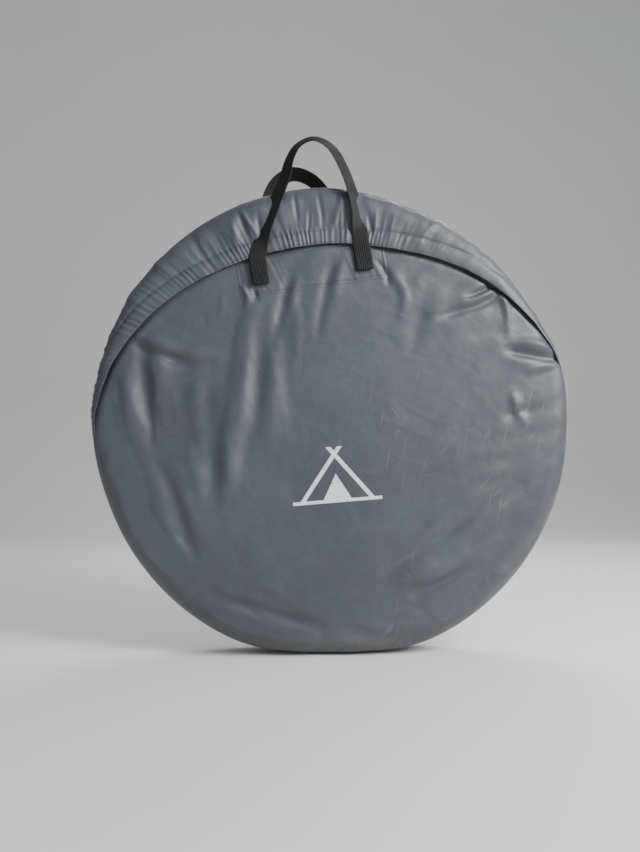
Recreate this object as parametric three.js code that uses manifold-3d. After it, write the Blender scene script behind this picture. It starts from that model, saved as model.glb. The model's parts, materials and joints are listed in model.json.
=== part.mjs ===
// A pop up tent packed in its round carry bag.
// Millimetres, +Z up. The bag stands on the flattened bottom of its rim, and its front faces -Y.
// The origin is the middle of the flat base. Every solid is placed about the disc's centre, and the hood,
// the handles and the coil inside are turned about the disc's axis by the bag's roll.

import * as THREE from 'three';
import { mergeVertices } from 'three/addons/utils/BufferGeometryUtils.js';
import Module from 'manifold-3d';

// ---------------------------------------------------------------- driving dimensions

const centreHeight = 395;            // disc centre above the flat base
const roll = THREE.MathUtils.degToRad(9);
const gap = 0.3;                     // clearance between pieces that touch
const cloth = 2;                     // wall of the bag's panels
const discSegments = 48;

const panelRadius = 407;
const panelHalfDepth = 50;           // outer face of a panel at its middle
const panelEdgeHalfDepth = 47;       // outer face of a panel at its edge
const panelFlatRadius = 60;          // flat middle of a panel

const gussetRadius = 405.5;
const gussetHalfWidth = 44.7;

const hoodRadius = 409.6;
const hoodRearEdge = 47;
const hoodFrontFace = 52.3;          // outer face of the hood near its hem
const hoodCloth = 1.5;
const hemDepth = 111;                // from the rim to the hem at the top
const hemPower = 1.5;                // how fast the hem meets the rim at the sides
const hoodHalfAngle = THREE.MathUtils.degToRad(95);
const elasticWidth = 5;

const webbingWidth = 28;
const webbingThickness = 2.5;
const tabSpacing = 180;              // between the middles of a handle's two tabs
const tabBottom = 245;
const tabTop = 281.5;
const handleHinge = 287;             // height of the line that a handle folds about
const handleInnerFace = 53.5;
const handleLean = THREE.MathUtils.degToRad(1);
const patch = { width: 264, bottom: 222, top: 300, inner: 49.7, outer: 50.5 };

const coilRadius = 374;
const coilSpread = { radial: 9, across: 10.5 };
const coilOffset = 17.2;             // each hoop's middle from the disc's mid-plane
const turnsPerHoop = 3;
const rodRadius = 4.5;
const rodHalfSides = 4;             // straight sides in half of a rod's section
const rodSteps = 28;
const ferrule = { length: 60, inner: 5.4, outer: 6.6 };
const sleeve = { firstStep: 10, lastStep: 17, inner: 5.6, outer: 6.3 };

const foldFace = 37;                 // outer face of the folded tent
const foldRadius = 389;
const foldCore = 354;                // folds fill the coil up to here
const foldSplit = 10;                // inner tent lies within this of the mid-plane

const strap = { width: 25, inner: 37.4, thickness: 1.6, reach: 389.5, corner: 7.5 };
const buckle = { width: 38, face: 44, wall: 1.4, bodyTop: 34, clipTop: 48, prong: 13 };
const pouch = { width: 62, length: 150, middle: [-150, -60], wall: 0.9 };
const peg = { radius: 1.9, length: 165, hook: 7, pitch: 8.4, stagger: 5.5, count: 6 };

// ---------------------------------------------------------------- materials

function finish(color, roughness, metalness = 0) {
  return new THREE.MeshStandardMaterial({ color, roughness, metalness });
}

const panelFinish = () => finish(0x4a4f55, 0.62);
const hoodFinish = () => finish(0x4d5258, 0.62);
const blackWebbing = () => finish(0x15161a, 0.85);
const blackElastic = () => finish(0x101114, 0.8);
const glassFibre = () => finish(0xd8d4c4, 0.4);
const zincSteel = () => finish(0xa9adb1, 0.35, 0.9);
const sleeveCloth = () => finish(0x2d3036, 0.8);
const flysheetCloth = () => finish(0x5d6f7a, 0.7);
const innerTentCloth = () => finish(0xd9d7cf, 0.8);
const groundsheetCloth = () => finish(0x30363c, 0.6);
const strapWebbing = () => finish(0x1b1d21, 0.85);
const blackPlastic = () => finish(0x121316, 0.45);
const pouchCloth = () => finish(0x3a3f45, 0.75);

// ---------------------------------------------------------------- the tree of parts

const tent = new THREE.Group();
const disc = new THREE.Group();
disc.position.z = centreHeight;
const rolled = new THREE.Group();
rolled.rotation.y = -roll;
tent.add(disc);
disc.add(rolled);

function addPiece(group, name, geometry, material) {
  const mesh = new THREE.Mesh(geometry, material);
  mesh.name = name;
  group.add(mesh);
  return mesh;
}

// ---------------------------------------------------------------- joining and cutting

const wasm = await Module();
wasm.setup();

function toSolid(geometry) {
  const bare = geometry.clone();
  bare.deleteAttribute('normal');
  bare.deleteAttribute('uv');
  const merged = mergeVertices(bare, 1e-4);
  return new wasm.Manifold(new wasm.Mesh({
    numProp: 3,
    vertProperties: new Float32Array(merged.attributes.position.array),
    triVerts: new Uint32Array(merged.index.array),
  }));
}

function toGeometry(solid) {
  const mesh = solid.getMesh();
  const geometry = new THREE.BufferGeometry();
  geometry.setAttribute('position', new THREE.BufferAttribute(new Float32Array(mesh.vertProperties), 3));
  geometry.setIndex(new THREE.BufferAttribute(new Uint32Array(mesh.triVerts), 1));
  geometry.computeVertexNormals();
  return geometry;
}

// ---------------------------------------------------------------- shape helpers

// A closed profile of [radius, y] points turned about the disc's axis.
function turned(profile) {
  const points = profile.map(([radius, y]) => new THREE.Vector2(radius, y));
  return new THREE.LatheGeometry(points, discSegments);
}

// A flat outline in the disc's plane, drawn as x and z, made solid from y = near to y = far.
function slab(shape, near, far, curveSegments = 12) {
  const geometry = new THREE.ExtrudeGeometry(shape, { depth: far - near, bevelEnabled: false, curveSegments });
  geometry.rotateX(Math.PI / 2);
  geometry.translate(0, far, 0);
  return geometry;
}

// A block between two corners.
function block([x0, y0, z0], [x1, y1, z1]) {
  const geometry = new THREE.BoxGeometry(x1 - x0, y1 - y0, z1 - z0);
  geometry.translate((x0 + x1) / 2, (y0 + y1) / 2, (z0 + z1) / 2);
  return geometry;
}

// A rod or a sleeve along a curve. An inner radius above zero makes it hollow, open at both ends.
function swept(curve, steps, outer, inner = 0) {
  const section = new THREE.Shape();
  section.absarc(0, 0, outer, 0, 2 * Math.PI, false);
  if (inner > 0) {
    const hole = new THREE.Path();
    hole.absarc(0, 0, inner, 0, 2 * Math.PI, true);
    section.holes.push(hole);
  }
  return new THREE.ExtrudeGeometry(section, {
    steps, bevelEnabled: false, extrudePath: curve, curveSegments: rodHalfSides,
  });
}

// A curve that runs straight from point to point, equally spaced.
class Polyline extends THREE.Curve {
  constructor(points) {
    super();
    this.points = points;
  }

  getPoint(t, target = new THREE.Vector3()) {
    const place = t * (this.points.length - 1);
    const index = Math.min(Math.floor(place), this.points.length - 2);
    return target.lerpVectors(this.points[index], this.points[index + 1], place - index);
  }
}

// ---------------------------------------------------------------- bag panels and gusset

// Outer face of a panel from the mid-plane: flat in the middle, falling as a parabola to its edge.
function panelFace(radius) {
  const share = Math.max(0, radius - panelFlatRadius) / (panelRadius - panelFlatRadius);
  return panelHalfDepth - (panelHalfDepth - panelEdgeHalfDepth) * share ** 2;
}

function panel(side) {
  const radii = [0, panelFlatRadius, 180, 270, 350, panelRadius];
  const outer = radii.map((radius) => [radius, side * panelFace(radius)]);
  const inner = radii.map((radius) => [radius, side * (panelFace(radius) - cloth)]);
  const profile = side < 0 ? [...outer, ...inner.reverse()] : [...inner, ...outer.reverse()];
  const ground = block([-600, -100, -800], [600, 100, -centreHeight]);
  ground.rotateY(roll);
  return toGeometry(toSolid(turned(profile)).subtract(toSolid(ground)));
}

// The lower rim from the nine o'clock end of the mouth round the flat base to the three o'clock end.
function gusset() {
  const shape = new THREE.Shape();
  const inner = gussetRadius - cloth;
  const corner = Math.acos(centreHeight / gussetRadius);
  const innerCorner = Math.acos((centreHeight - cloth) / inner);
  const start = Math.PI + roll;
  const end = 2 * Math.PI + roll;
  const down = 1.5 * Math.PI;
  shape.absarc(0, 0, gussetRadius, start, down - corner, false);
  shape.absarc(0, 0, gussetRadius, down + corner, end, false);
  shape.absarc(0, 0, inner, end, down + innerCorner, true);
  shape.absarc(0, 0, inner, down - innerCorner, start, true);
  return slab(shape, -gussetHalfWidth, gussetHalfWidth);
}

addPiece(rolled, 'bag_front_panel', panel(-1), panelFinish());
addPiece(rolled, 'bag_back_panel', panel(1), panelFinish());
addPiece(disc, 'bag_gusset', gusset(), panelFinish());

// ---------------------------------------------------------------- hood and its elastic

// The hem's distance from the disc's centre, at an angle from the bag's upward axis.
function hemRadius(angle) {
  const fall = Math.max(0, Math.cos(angle)) ** hemPower;
  return Math.min(hoodRadius - hemDepth * fall, gussetRadius - 1);
}

function discPoint(radius, angle) {
  return new THREE.Vector2(radius * Math.sin(angle), radius * Math.cos(angle));
}

// An outline that follows the hem, offset inwards, and comes back at a second distance.
function hemOutline(halfAngle, nearOffset, farRadius) {
  const steps = 40;
  const angles = Array.from({ length: steps + 1 }, (_, i) => halfAngle * (1 - (2 * i) / steps));
  const near = angles.map((angle) => discPoint(hemRadius(angle) - nearOffset, angle));
  const far = angles.reverse().map((angle) => discPoint(farRadius(angle), angle));
  return new THREE.Shape([...near, ...far]);
}

function hood() {
  const inner = hoodRadius - cloth;
  const innerFace = hoodFrontFace - hoodCloth;
  const hemReach = hoodRadius - hemDepth - 5;
  const profile = [
    [hemReach, -hoodFrontFace],
    [335, -hoodFrontFace],
    [400, -49.8],
    [inner, -49.4],
    [hoodRadius, -47.4],
    [hoodRadius, hoodRearEdge],
    [inner, hoodRearEdge],
    [inner, -47.6],
    [400, -48],
    [335, -innerFace],
    [hemReach, -innerFace],
    [hemReach, -hoodFrontFace],
  ];
  const mouth = slab(hemOutline(hoodHalfAngle, 0, () => hoodRadius + 20), -80, 80);
  return toGeometry(toSolid(turned(profile)).intersect(toSolid(mouth)));
}

// The elastic is a flat band that edges the hood's hem.
function elastic() {
  const halfAngle = THREE.MathUtils.degToRad(84);
  const outline = hemOutline(halfAngle, elasticWidth + 2 * gap, (angle) => hemRadius(angle) - 2 * gap);
  return slab(outline, -hoodFrontFace, -hoodFrontFace + hoodCloth);
}

addPiece(rolled, 'hood_panel', hood(), hoodFinish());
addPiece(rolled, 'hood_elastic', elastic(), blackElastic());

// ---------------------------------------------------------------- handles

// A band of webbing that follows a centre line drawn in the disc's plane.
function band(points, width) {
  const line = new THREE.SplineCurve(points.map(([x, z]) => new THREE.Vector2(x, z)));
  const steps = 30;
  const left = [];
  const right = [];
  for (let i = 0; i <= steps; i += 1) {
    const middle = line.getPointAt(i / steps);
    const along = line.getTangentAt(i / steps);
    const across = new THREE.Vector2(-along.y, along.x).multiplyScalar(width / 2);
    left.push(middle.clone().add(across));
    right.push(middle.clone().sub(across));
  }
  return new THREE.Shape([...left, ...right.reverse()]);
}

const handleFoot = handleHinge + 0.5;
const halfSpacing = tabSpacing / 2;

// The front handle has sagged upright, so it leans away from the bag's own axis.
const frontHandleLine = [
  [-halfSpacing, handleFoot], [-89, 304], [-70, 338], [-42, 386], [-22, 424], [-8, 452], [10, 473],
  [40, 481], [66, 463], [82, 428], [90, 386], [93, 345], [91, 304], [halfSpacing, handleFoot],
];

const rearHandleSide = [[halfSpacing, handleFoot], [89.5, 304], [84, 340], [72, 385], [56, 428], [34, 462]];
const rearHandleLine = [
  ...rearHandleSide.map(([x, z]) => [-x, z]),
  [0, 478],
  ...[...rearHandleSide].reverse(),
];

// side is -1 at the front and 1 at the back. Each handle leans in towards the bag's mid-plane.
function addHandle(label, side, line) {
  const hinge = new THREE.Group();
  hinge.position.set(0, side * (handleInnerFace + webbingThickness / 2), handleHinge);
  hinge.rotation.x = side * handleLean;
  rolled.add(hinge);
  const shape = band(line.map(([x, z]) => [x, z - handleHinge]), webbingWidth);
  const geometry = slab(shape, -webbingThickness / 2, webbingThickness / 2);
  addPiece(hinge, `${label}_handle`, geometry, blackWebbing());

  const faces = [side * handleInnerFace, side * (handleInnerFace + webbingThickness)].sort((a, b) => a - b);
  for (const [end, x] of [['left', -halfSpacing], ['right', halfSpacing]]) {
    const tab = block([x - webbingWidth / 2, faces[0], tabBottom], [x + webbingWidth / 2, faces[1], tabTop]);
    addPiece(rolled, `${label}_handle_tab_${end}`, tab, blackWebbing());
  }

  const layer = [side * patch.inner, side * patch.outer].sort((a, b) => a - b);
  const sheet = block([-patch.width / 2, layer[0], patch.bottom], [patch.width / 2, layer[1], patch.top]);
  addPiece(rolled, `${label}_handle_patch`, sheet, panelFinish());
}

addHandle('front', -1, frontHandleLine);
addHandle('rear', 1, rearHandleLine);

// ---------------------------------------------------------------- coiled hoops

// One turn of a hoop. Its three turns wind round each other, so the hoop closes on itself.
class Turn extends THREE.Curve {
  constructor(offset, first, length) {
    super();
    this.offset = offset;
    this.first = first;
    this.length = length;
  }

  getPoint(t, target = new THREE.Vector3()) {
    const angle = this.first + t * this.length;
    const wind = angle / turnsPerHoop;
    const radius = coilRadius + coilSpread.radial * Math.cos(wind);
    const y = this.offset + coilSpread.across * Math.sin(wind);
    return target.set(radius * Math.sin(angle), y, radius * Math.cos(angle));
  }
}

// start is the angle, from the bag's upward axis, where the hoop's rods butt together.
function addHoop(label, offset, start) {
  const buttGap = 0.2 / coilRadius;
  const fullTurn = 2 * Math.PI;
  const rods = [];
  for (let i = 0; i < turnsPerHoop; i += 1) {
    const curve = new Turn(offset, start + i * fullTurn + buttGap, fullTurn - 2 * buttGap);
    const points = curve.getSpacedPoints(rodSteps);
    rods.push(points);
    addPiece(rolled, `hoop_${label}_rod_${i + 1}`, swept(curve, rodSteps, rodRadius), glassFibre());
    const covered = points.slice(sleeve.firstStep, sleeve.lastStep + 1);
    const cover = swept(new Polyline(covered), covered.length - 1, sleeve.outer, sleeve.inner);
    addPiece(rolled, `hoop_${label}_pole_sleeve_${i + 1}`, cover, sleeveCloth());
  }
  for (let i = 0; i < turnsPerHoop; i += 1) {
    const before = rods[i];
    const after = rods[(i + 1) % turnsPerHoop];
    const joint = before.at(-1).clone().lerp(after[0], 0.5);
    const halfLength = ferrule.length / 2;
    const back = before.at(-2).clone().sub(joint).setLength(halfLength).add(joint);
    const ahead = after[1].clone().sub(joint).setLength(halfLength).add(joint);
    const line = new Polyline([back, joint, ahead]);
    const tube = swept(line, 2, ferrule.outer, ferrule.inner);
    addPiece(rolled, `hoop_${label}_ferrule_${i + 1}`, tube, zincSteel());
  }
}

addHoop('a', -coilOffset, THREE.MathUtils.degToRad(50));
addHoop('b', coilOffset, THREE.MathUtils.degToRad(-70));

// ---------------------------------------------------------------- folded tent

// An outer fold fills the coil's middle and laps over one face of it.
function outerFold(side) {
  const lapped = [
    [0, foldFace], [foldRadius - 8, foldFace], [foldRadius - 2.5, foldFace - 2.2], [foldRadius, foldFace - 6],
    [foldRadius - 3, foldFace - 6], [foldRadius - 4.8, foldFace - 4], [foldRadius - 9, foldFace - 2.7],
    [foldCore, foldFace - 2.7], [foldCore, foldSplit + gap / 2], [0, foldSplit + gap / 2],
  ];
  const profile = lapped.map(([radius, y]) => [radius, side * y]);
  return turned(side < 0 ? profile : profile.reverse());
}

function innerFold() {
  const half = foldSplit - gap / 2;
  return turned([[0, -half], [foldCore - 4, -half], [foldCore, -half + 4], [foldCore, half - 4],
    [foldCore - 4, half], [0, half]]);
}

addPiece(rolled, 'flysheet_fold', outerFold(-1), flysheetCloth());
addPiece(rolled, 'inner_tent_fold', innerFold(), innerTentCloth());
addPiece(rolled, 'groundsheet_fold', outerFold(1), groundsheetCloth());

// ---------------------------------------------------------------- pack straps and buckle

// Half of the strap round the pack: a U drawn in y and z, from a front height over one end to a back height.
function strapHalf(end, frontHeight, backHeight) {
  const { inner, thickness, reach, corner } = strap;
  const outer = inner + thickness;
  const shape = new THREE.Shape();
  shape.moveTo(-inner, frontHeight);
  shape.lineTo(-inner, end * (reach - corner));
  shape.quadraticCurveTo(-inner, end * reach, -inner + corner, end * reach);
  shape.lineTo(inner - corner, end * reach);
  shape.quadraticCurveTo(inner, end * reach, inner, end * (reach - corner));
  shape.lineTo(inner, backHeight);
  shape.lineTo(outer, backHeight);
  shape.lineTo(outer, end * (reach - corner));
  shape.quadraticCurveTo(outer, end * (reach + thickness), inner - corner, end * (reach + thickness));
  shape.lineTo(-inner + corner, end * (reach + thickness));
  shape.quadraticCurveTo(-outer, end * (reach + thickness), -outer, end * (reach - corner));
  shape.lineTo(-outer, frontHeight);
  const geometry = new THREE.ExtrudeGeometry(shape, { depth: strap.width, bevelEnabled: false, curveSegments: 5 });
  geometry.translate(0, 0, -strap.width / 2);
  const [x, y, z] = [new THREE.Vector3(1, 0, 0), new THREE.Vector3(0, 1, 0), new THREE.Vector3(0, 0, 1)];
  return geometry.applyMatrix4(new THREE.Matrix4().makeBasis(y, z, x));
}

addPiece(rolled, 'strap_lower', strapHalf(-1, -gap, -10), strapWebbing());
addPiece(rolled, 'strap_upper', strapHalf(1, buckle.clipTop + gap, -10 + gap), strapWebbing());

// The buckle's body is a flat box, open upwards, with a window in each side for the clip's prongs.
function buckleBody() {
  const half = buckle.width / 2;
  const back = -strap.inner;
  const front = -buckle.face;
  const solid = toSolid(block([-half, front, 0], [half, back, buckle.bodyTop]));
  const throat = block(
    [-half + 3, front + buckle.wall, 8],
    [half - 3, back - buckle.wall, buckle.bodyTop + 1],
  );
  const window = block([-half - 1, front + buckle.wall, 14], [half + 1, back - buckle.wall, 24]);
  return toGeometry(solid.subtract(toSolid(throat)).subtract(toSolid(window)));
}

function buckleClip() {
  const half = buckle.width / 2;
  const back = -strap.inner;
  const front = -buckle.face;
  const low = buckle.bodyTop + gap;
  const tip = low - buckle.prong;
  const thin = buckle.wall + gap;
  const plate = toSolid(block([-half, front, low], [half, back, buckle.clipTop]));
  const prongs = [-half + 4, -3, half - 10].map((x) => (
    toSolid(block([x, front + thin, tip], [x + 6, back - thin, low + 1]))
  ));
  return toGeometry(prongs.reduce((whole, prong) => whole.add(prong), plate));
}

addPiece(rolled, 'buckle_body', buckleBody(), blackPlastic());
addPiece(rolled, 'buckle_clip', buckleClip(), blackPlastic());

// ---------------------------------------------------------------- peg bag and pegs

function pegBag() {
  const [x, z] = pouch.middle;
  const half = pouch.width / 2;
  const bottom = z - pouch.length / 2;
  const top = z + pouch.length / 2;
  const front = -buckle.face;
  const back = -foldFace - gap;
  const solid = toSolid(block([x - half, front, bottom], [x + half, back, top]));
  const room = block(
    [x - half + pouch.wall, front + pouch.wall, bottom + pouch.wall],
    [x + half - pouch.wall, back - pouch.wall, top + 1],
  );
  return toGeometry(solid.subtract(toSolid(room)));
}

addPiece(rolled, 'peg_bag', pegBag(), pouchCloth());

// A peg is a straight rod whose top is bent over into a hook.
function tentPeg(foot) {
  const at = (dx, dz) => foot.clone().add(new THREE.Vector3(dx, 0, dz));
  const bend = 3;
  const neck = peg.length - bend;
  const hook = new THREE.CurvePath();
  hook.add(new THREE.QuadraticBezierCurve3(at(0, neck), at(0, peg.length), at(bend, peg.length)));
  hook.add(new THREE.LineCurve3(at(bend, peg.length), at(peg.hook, peg.length)));
  const shaft = new THREE.LineCurve3(at(0, 0), at(0, neck + peg.radius / 4));
  return toGeometry(toSolid(swept(shaft, 1, peg.radius)).add(toSolid(swept(hook, 5, peg.radius))));
}

for (let i = 0; i < peg.count; i += 1) {
  const [x, z] = pouch.middle;
  const foot = new THREE.Vector3(
    x + (i - (peg.count - 1) / 2) * peg.pitch - 2,
    -(buckle.face + foldFace + gap) / 2,
    z - pouch.length / 2 + 32 - i * peg.stagger,
  );
  addPiece(rolled, `tent_peg_${i + 1}`, tentPeg(foot), zincSteel());
}

export default tent;
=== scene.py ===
"""A pop up tent packed in its round carry bag: the sewn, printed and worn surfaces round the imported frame.

Lengths are metres in the frame's own axes: +Z up, the bag's front faces -Y. Most shapes are drawn in the
bag's own directions: u across the bag, v up its own axis (both turned by the bag's roll) and y through it.
"""
import json
import math
from types import SimpleNamespace

import bpy
import numpy as np
from bpy.props import FloatProperty, FloatVectorProperty, IntProperty, PointerProperty
from mathutils import Matrix, Vector

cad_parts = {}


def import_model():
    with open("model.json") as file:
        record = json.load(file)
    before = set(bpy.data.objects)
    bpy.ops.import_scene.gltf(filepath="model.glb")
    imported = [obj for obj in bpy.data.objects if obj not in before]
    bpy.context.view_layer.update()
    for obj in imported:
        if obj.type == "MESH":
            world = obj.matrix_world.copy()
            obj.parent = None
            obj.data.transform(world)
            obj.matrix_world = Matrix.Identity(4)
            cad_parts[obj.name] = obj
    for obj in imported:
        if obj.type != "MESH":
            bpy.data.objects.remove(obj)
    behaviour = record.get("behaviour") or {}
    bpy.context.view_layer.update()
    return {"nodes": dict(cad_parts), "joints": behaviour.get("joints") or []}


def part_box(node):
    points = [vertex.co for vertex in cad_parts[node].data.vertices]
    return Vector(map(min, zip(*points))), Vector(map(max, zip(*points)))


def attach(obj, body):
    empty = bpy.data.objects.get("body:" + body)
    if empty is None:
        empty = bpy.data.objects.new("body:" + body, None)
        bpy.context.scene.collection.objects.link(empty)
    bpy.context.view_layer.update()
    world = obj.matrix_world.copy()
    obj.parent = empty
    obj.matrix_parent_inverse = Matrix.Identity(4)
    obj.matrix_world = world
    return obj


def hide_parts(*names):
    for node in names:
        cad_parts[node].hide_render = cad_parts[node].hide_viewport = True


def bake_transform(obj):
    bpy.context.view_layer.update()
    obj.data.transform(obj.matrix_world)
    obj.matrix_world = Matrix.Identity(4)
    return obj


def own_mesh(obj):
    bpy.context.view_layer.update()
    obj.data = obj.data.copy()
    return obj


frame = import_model()

bl_info = {
    "name": "Packed pop up tent",
    "version": (1, 0, 0),
    "blender": (4, 5, 0),
    "location": "3D View > Sidebar > Tent",
    "description": "Makes the carry bag, handles and packed tent round the part's frame",
    "category": "Object",
}

# ---------------------------------------------------------------- places taken from the frame


def joint(name):
    return next(j for j in frame["joints"] if j["name"] == name)


def measure_frame():
    """The disc's centre, its own axes and its sizes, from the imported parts."""
    low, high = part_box("inner_tent_fold")
    centre = np.array([(a + b) / 2 for a, b in zip(low, high)])
    up = np.array(joint("tent_slide")["axis"], float)
    across = np.array([up[2], 0, -up[0]])
    panel_low, panel_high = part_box("bag_front_panel")
    hinge = np.array(joint("front_handle_fold")["pos_m"])
    return SimpleNamespace(
        centre=centre,
        up=up,
        across=across,
        roll=math.atan2(-up[0], up[2]),
        panel_radius=(panel_high.x - panel_low.x) / 2,
        hood_radius=-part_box("hood_panel")[0].x,
        panel_face=-panel_low.y,
        hinge_y=-hinge[1],
        hinge_v=float((hinge - centre) @ up),
    )


F = measure_frame()
TURN = 2 * math.pi


def world(u, y, v):
    """Points of the frame from places across (u), through (y) and up (v) the bag."""
    u, y, v = np.broadcast_arrays(u, y, v)
    return np.stack([
        F.centre[0] + u * F.across[0] + v * F.up[0],
        F.centre[1] + y,
        F.centre[2] + u * F.across[2] + v * F.up[2],
    ], axis=-1)


# ---------------------------------------------------------------- settings


class BagSettings(bpy.types.PropertyGroup):
    rim_round: FloatProperty(
        name="Rim rounding", description="How far in from the rim a panel starts to turn",
        default=0.032, min=0.01, max=0.08, unit="LENGTH")
    dome: FloatProperty(
        name="Panel dome", description="How far a panel's middle stands out past its edge",
        default=0.003, min=0, max=0.01, unit="LENGTH")
    fold_depth: FloatProperty(
        name="Fold depth", description="Scale of both panels' folds", default=1.5, min=0, max=2)
    cloth_thickness: FloatProperty(
        name="Cloth", description="Thickness of the bag's cloth", default=0.0007, min=0.0002, max=0.003,
        unit="LENGTH")
    panel_grid: IntProperty(
        name="Panel grid", description="Quads along each side of a panel's grid", default=206,
        min=40, max=300)
    cloth_colour: FloatVectorProperty(
        name="Cloth colour", description="Slate grey of the coated cloth", subtype="COLOR", size=3,
        min=0, max=1, default=(0.054, 0.0615, 0.0735))


class HoodSettings(bpy.types.PropertyGroup):
    hem_depth: FloatProperty(
        name="Hem depth", description="From the rim to the hem at the top of the bag", default=0.112,
        min=0.02, max=0.2, unit="LENGTH")
    casing: FloatProperty(
        name="Casing", description="Width of the hem's casing", default=0.028, min=0.005, max=0.06,
        unit="LENGTH")
    gather: FloatProperty(
        name="Gather", description="Height of the gathers at the casing", default=0.0024, min=0, max=0.006,
        unit="LENGTH")
    elastic_width: FloatProperty(
        name="Elastic", description="Width of the elastic along the hem", default=0.0036, min=0.001,
        max=0.01, unit="LENGTH")


class HandleSettings(bpy.types.PropertyGroup):
    webbing_width: FloatProperty(
        name="Webbing width", description="Width of the handles' webbing", default=0.028, min=0.01,
        max=0.06, unit="LENGTH")
    webbing_thickness: FloatProperty(
        name="Webbing thickness", description="Thickness of the webbing", default=0.0022, min=0.001,
        max=0.006, unit="LENGTH")
    ribs: IntProperty(name="Ribs", description="Ribs across the webbing", default=8, min=2, max=20)
    webbing_colour: FloatVectorProperty(
        name="Webbing colour", description="Near black", subtype="COLOR", size=3, min=0, max=1,
        default=(0.0065, 0.0070, 0.0080))


class PrintSettings(bpy.types.PropertyGroup):
    half_width: FloatProperty(
        name="Half width", description="From the printed tent's middle to its foot", default=0.060,
        min=0.02, max=0.2, unit="LENGTH")
    stroke: FloatProperty(
        name="Stroke", description="Width of the printed poles", default=0.0068, min=0.001, max=0.02,
        unit="LENGTH")
    ink: FloatVectorProperty(
        name="Ink", description="Colour of the print", subtype="COLOR", size=3, min=0, max=1,
        default=(0.70, 0.73, 0.76))


class StageSettings(bpy.types.PropertyGroup):
    distance: FloatProperty(
        name="Camera distance", description="From the disc's centre", default=1.128, min=0.3, max=5,
        unit="LENGTH")
    floor_colour: FloatVectorProperty(
        name="Floor", description="Pale floor", subtype="COLOR", size=3, min=0, max=1,
        default=(0.80, 0.79, 0.77))
    key: FloatProperty(name="Key light", description="Power of the key light", default=64, min=0, max=500)


SETTINGS = {
    "tent_bag": BagSettings,
    "tent_hood": HoodSettings,
    "tent_handles": HandleSettings,
    "tent_print": PrintSettings,
    "tent_stage": StageSettings,
}


def settings(name):
    return getattr(bpy.context.scene, name)


# ---------------------------------------------------------------- mesh helpers


def grid_quads(rows, cols, close_rows=False, close_cols=False):
    """Quads between neighbouring points of a rows by cols grid, as indices into its rows."""
    i = np.arange(rows if close_rows else rows - 1)
    j = np.arange(cols if close_cols else cols - 1)
    i, j = np.meshgrid(i, j, indexing="ij")
    i, j = i.ravel(), j.ravel()
    ni, nj = (i + 1) % rows, (j + 1) % cols
    return np.stack([i * cols + j, ni * cols + j, ni * cols + nj, i * cols + nj], axis=1)


def add_mesh(name, points, faces, material, uv=None, smooth=True):
    """A mesh object at the origin from arrays of points, faces and one UV place for each point."""
    mesh = bpy.data.meshes.new(name)
    mesh.from_pydata(np.asarray(points, float).reshape(-1, 3).tolist(), [], [list(f) for f in faces])
    mesh.update()
    if uv is not None:
        layer = mesh.uv_layers.new(name="UVMap")
        index = np.zeros(len(mesh.loops), np.int32)
        mesh.loops.foreach_get("vertex_index", index)
        layer.data.foreach_set("uv", np.asarray(uv, float).reshape(-1, 2)[index].ravel())
    mesh.polygons.foreach_set("use_smooth", np.full(len(mesh.polygons), smooth))
    mesh.materials.append(material)
    obj = bpy.data.objects.new(name, mesh)
    bpy.context.scene.collection.objects.link(obj)
    return obj


def thicken(obj, thickness, offset=-1.0):
    """Gives a sheet its cloth's thickness, inwards from its outer face, and applies it."""
    solid = obj.modifiers.new("cloth thickness", "SOLIDIFY")
    solid.thickness = thickness
    solid.offset = offset
    graph = bpy.context.evaluated_depsgraph_get()
    mesh = bpy.data.meshes.new_from_object(obj.evaluated_get(graph))
    obj.modifiers.clear()
    obj.data = mesh
    mesh.polygons.foreach_set("use_smooth", np.full(len(mesh.polygons), True))
    return obj


def smoothstep(low, high, x):
    """0 below low, 1 above high, and an S curve between."""
    t = np.clip((x - low) / (high - low), 0, 1)
    return t * t * (3 - 2 * t)


def bell(x, width):
    return np.exp(-(x / width) ** 2)


def smooth_noise(x, seed, pitch, octaves=2):
    """Waving noise of about -1 to 1 along x: random values every pitch, joined by cosine curves."""
    total, size, weight = np.zeros_like(x), 1.0, 0.0
    for octave in range(octaves):
        rng = np.random.default_rng(seed + octave)
        table = rng.uniform(-1, 1, 4096)
        place = x / (pitch / 2 ** octave) + 1000
        cell = np.floor(place).astype(int)
        t = (1 - np.cos((place - cell) * math.pi)) / 2
        total += size * ((1 - t) * table[cell % 4096] + t * table[(cell + 1) % 4096])
        weight += size
        size *= 0.5
    return total / weight


def field_noise(x, z, seed, pitch, stretch=1.0, angle=0.0):
    """Smooth noise over a plane: waves of random direction and phase, stretched along an angle."""
    waves = 12
    rng = np.random.default_rng(seed)
    c, s = math.cos(angle), math.sin(angle)
    a, b = (x * c + z * s) / stretch, -x * s + z * c
    total = np.zeros_like(x)
    for _ in range(waves):
        way = rng.uniform(0, TURN)
        wave = TURN / (pitch * rng.uniform(0.6, 1.7))
        total += np.sin(wave * (a * math.cos(way) + b * math.sin(way)) + rng.uniform(0, TURN))
    return total / waves ** 0.5


def through(points, steps=24):
    """A smooth line through a few hand-set points: Catmull-Rom cubics, as a whole array."""
    p = np.asarray(points, float)
    p = np.vstack([2 * p[0] - p[1], p, 2 * p[-1] - p[-2]])
    spans = len(p) - 3
    place = np.linspace(0, spans - 1e-9, steps * spans + 1)
    i = np.floor(place).astype(int)
    t = (place - i)[:, None]
    a, b, c, d = p[i], p[i + 1], p[i + 2], p[i + 3]
    bend = (2 * a - 5 * b + 4 * c - d) * t ** 2
    return 0.5 * (2 * b + (c - a) * t + bend + (3 * b - a - 3 * c + d) * t ** 3)


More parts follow.
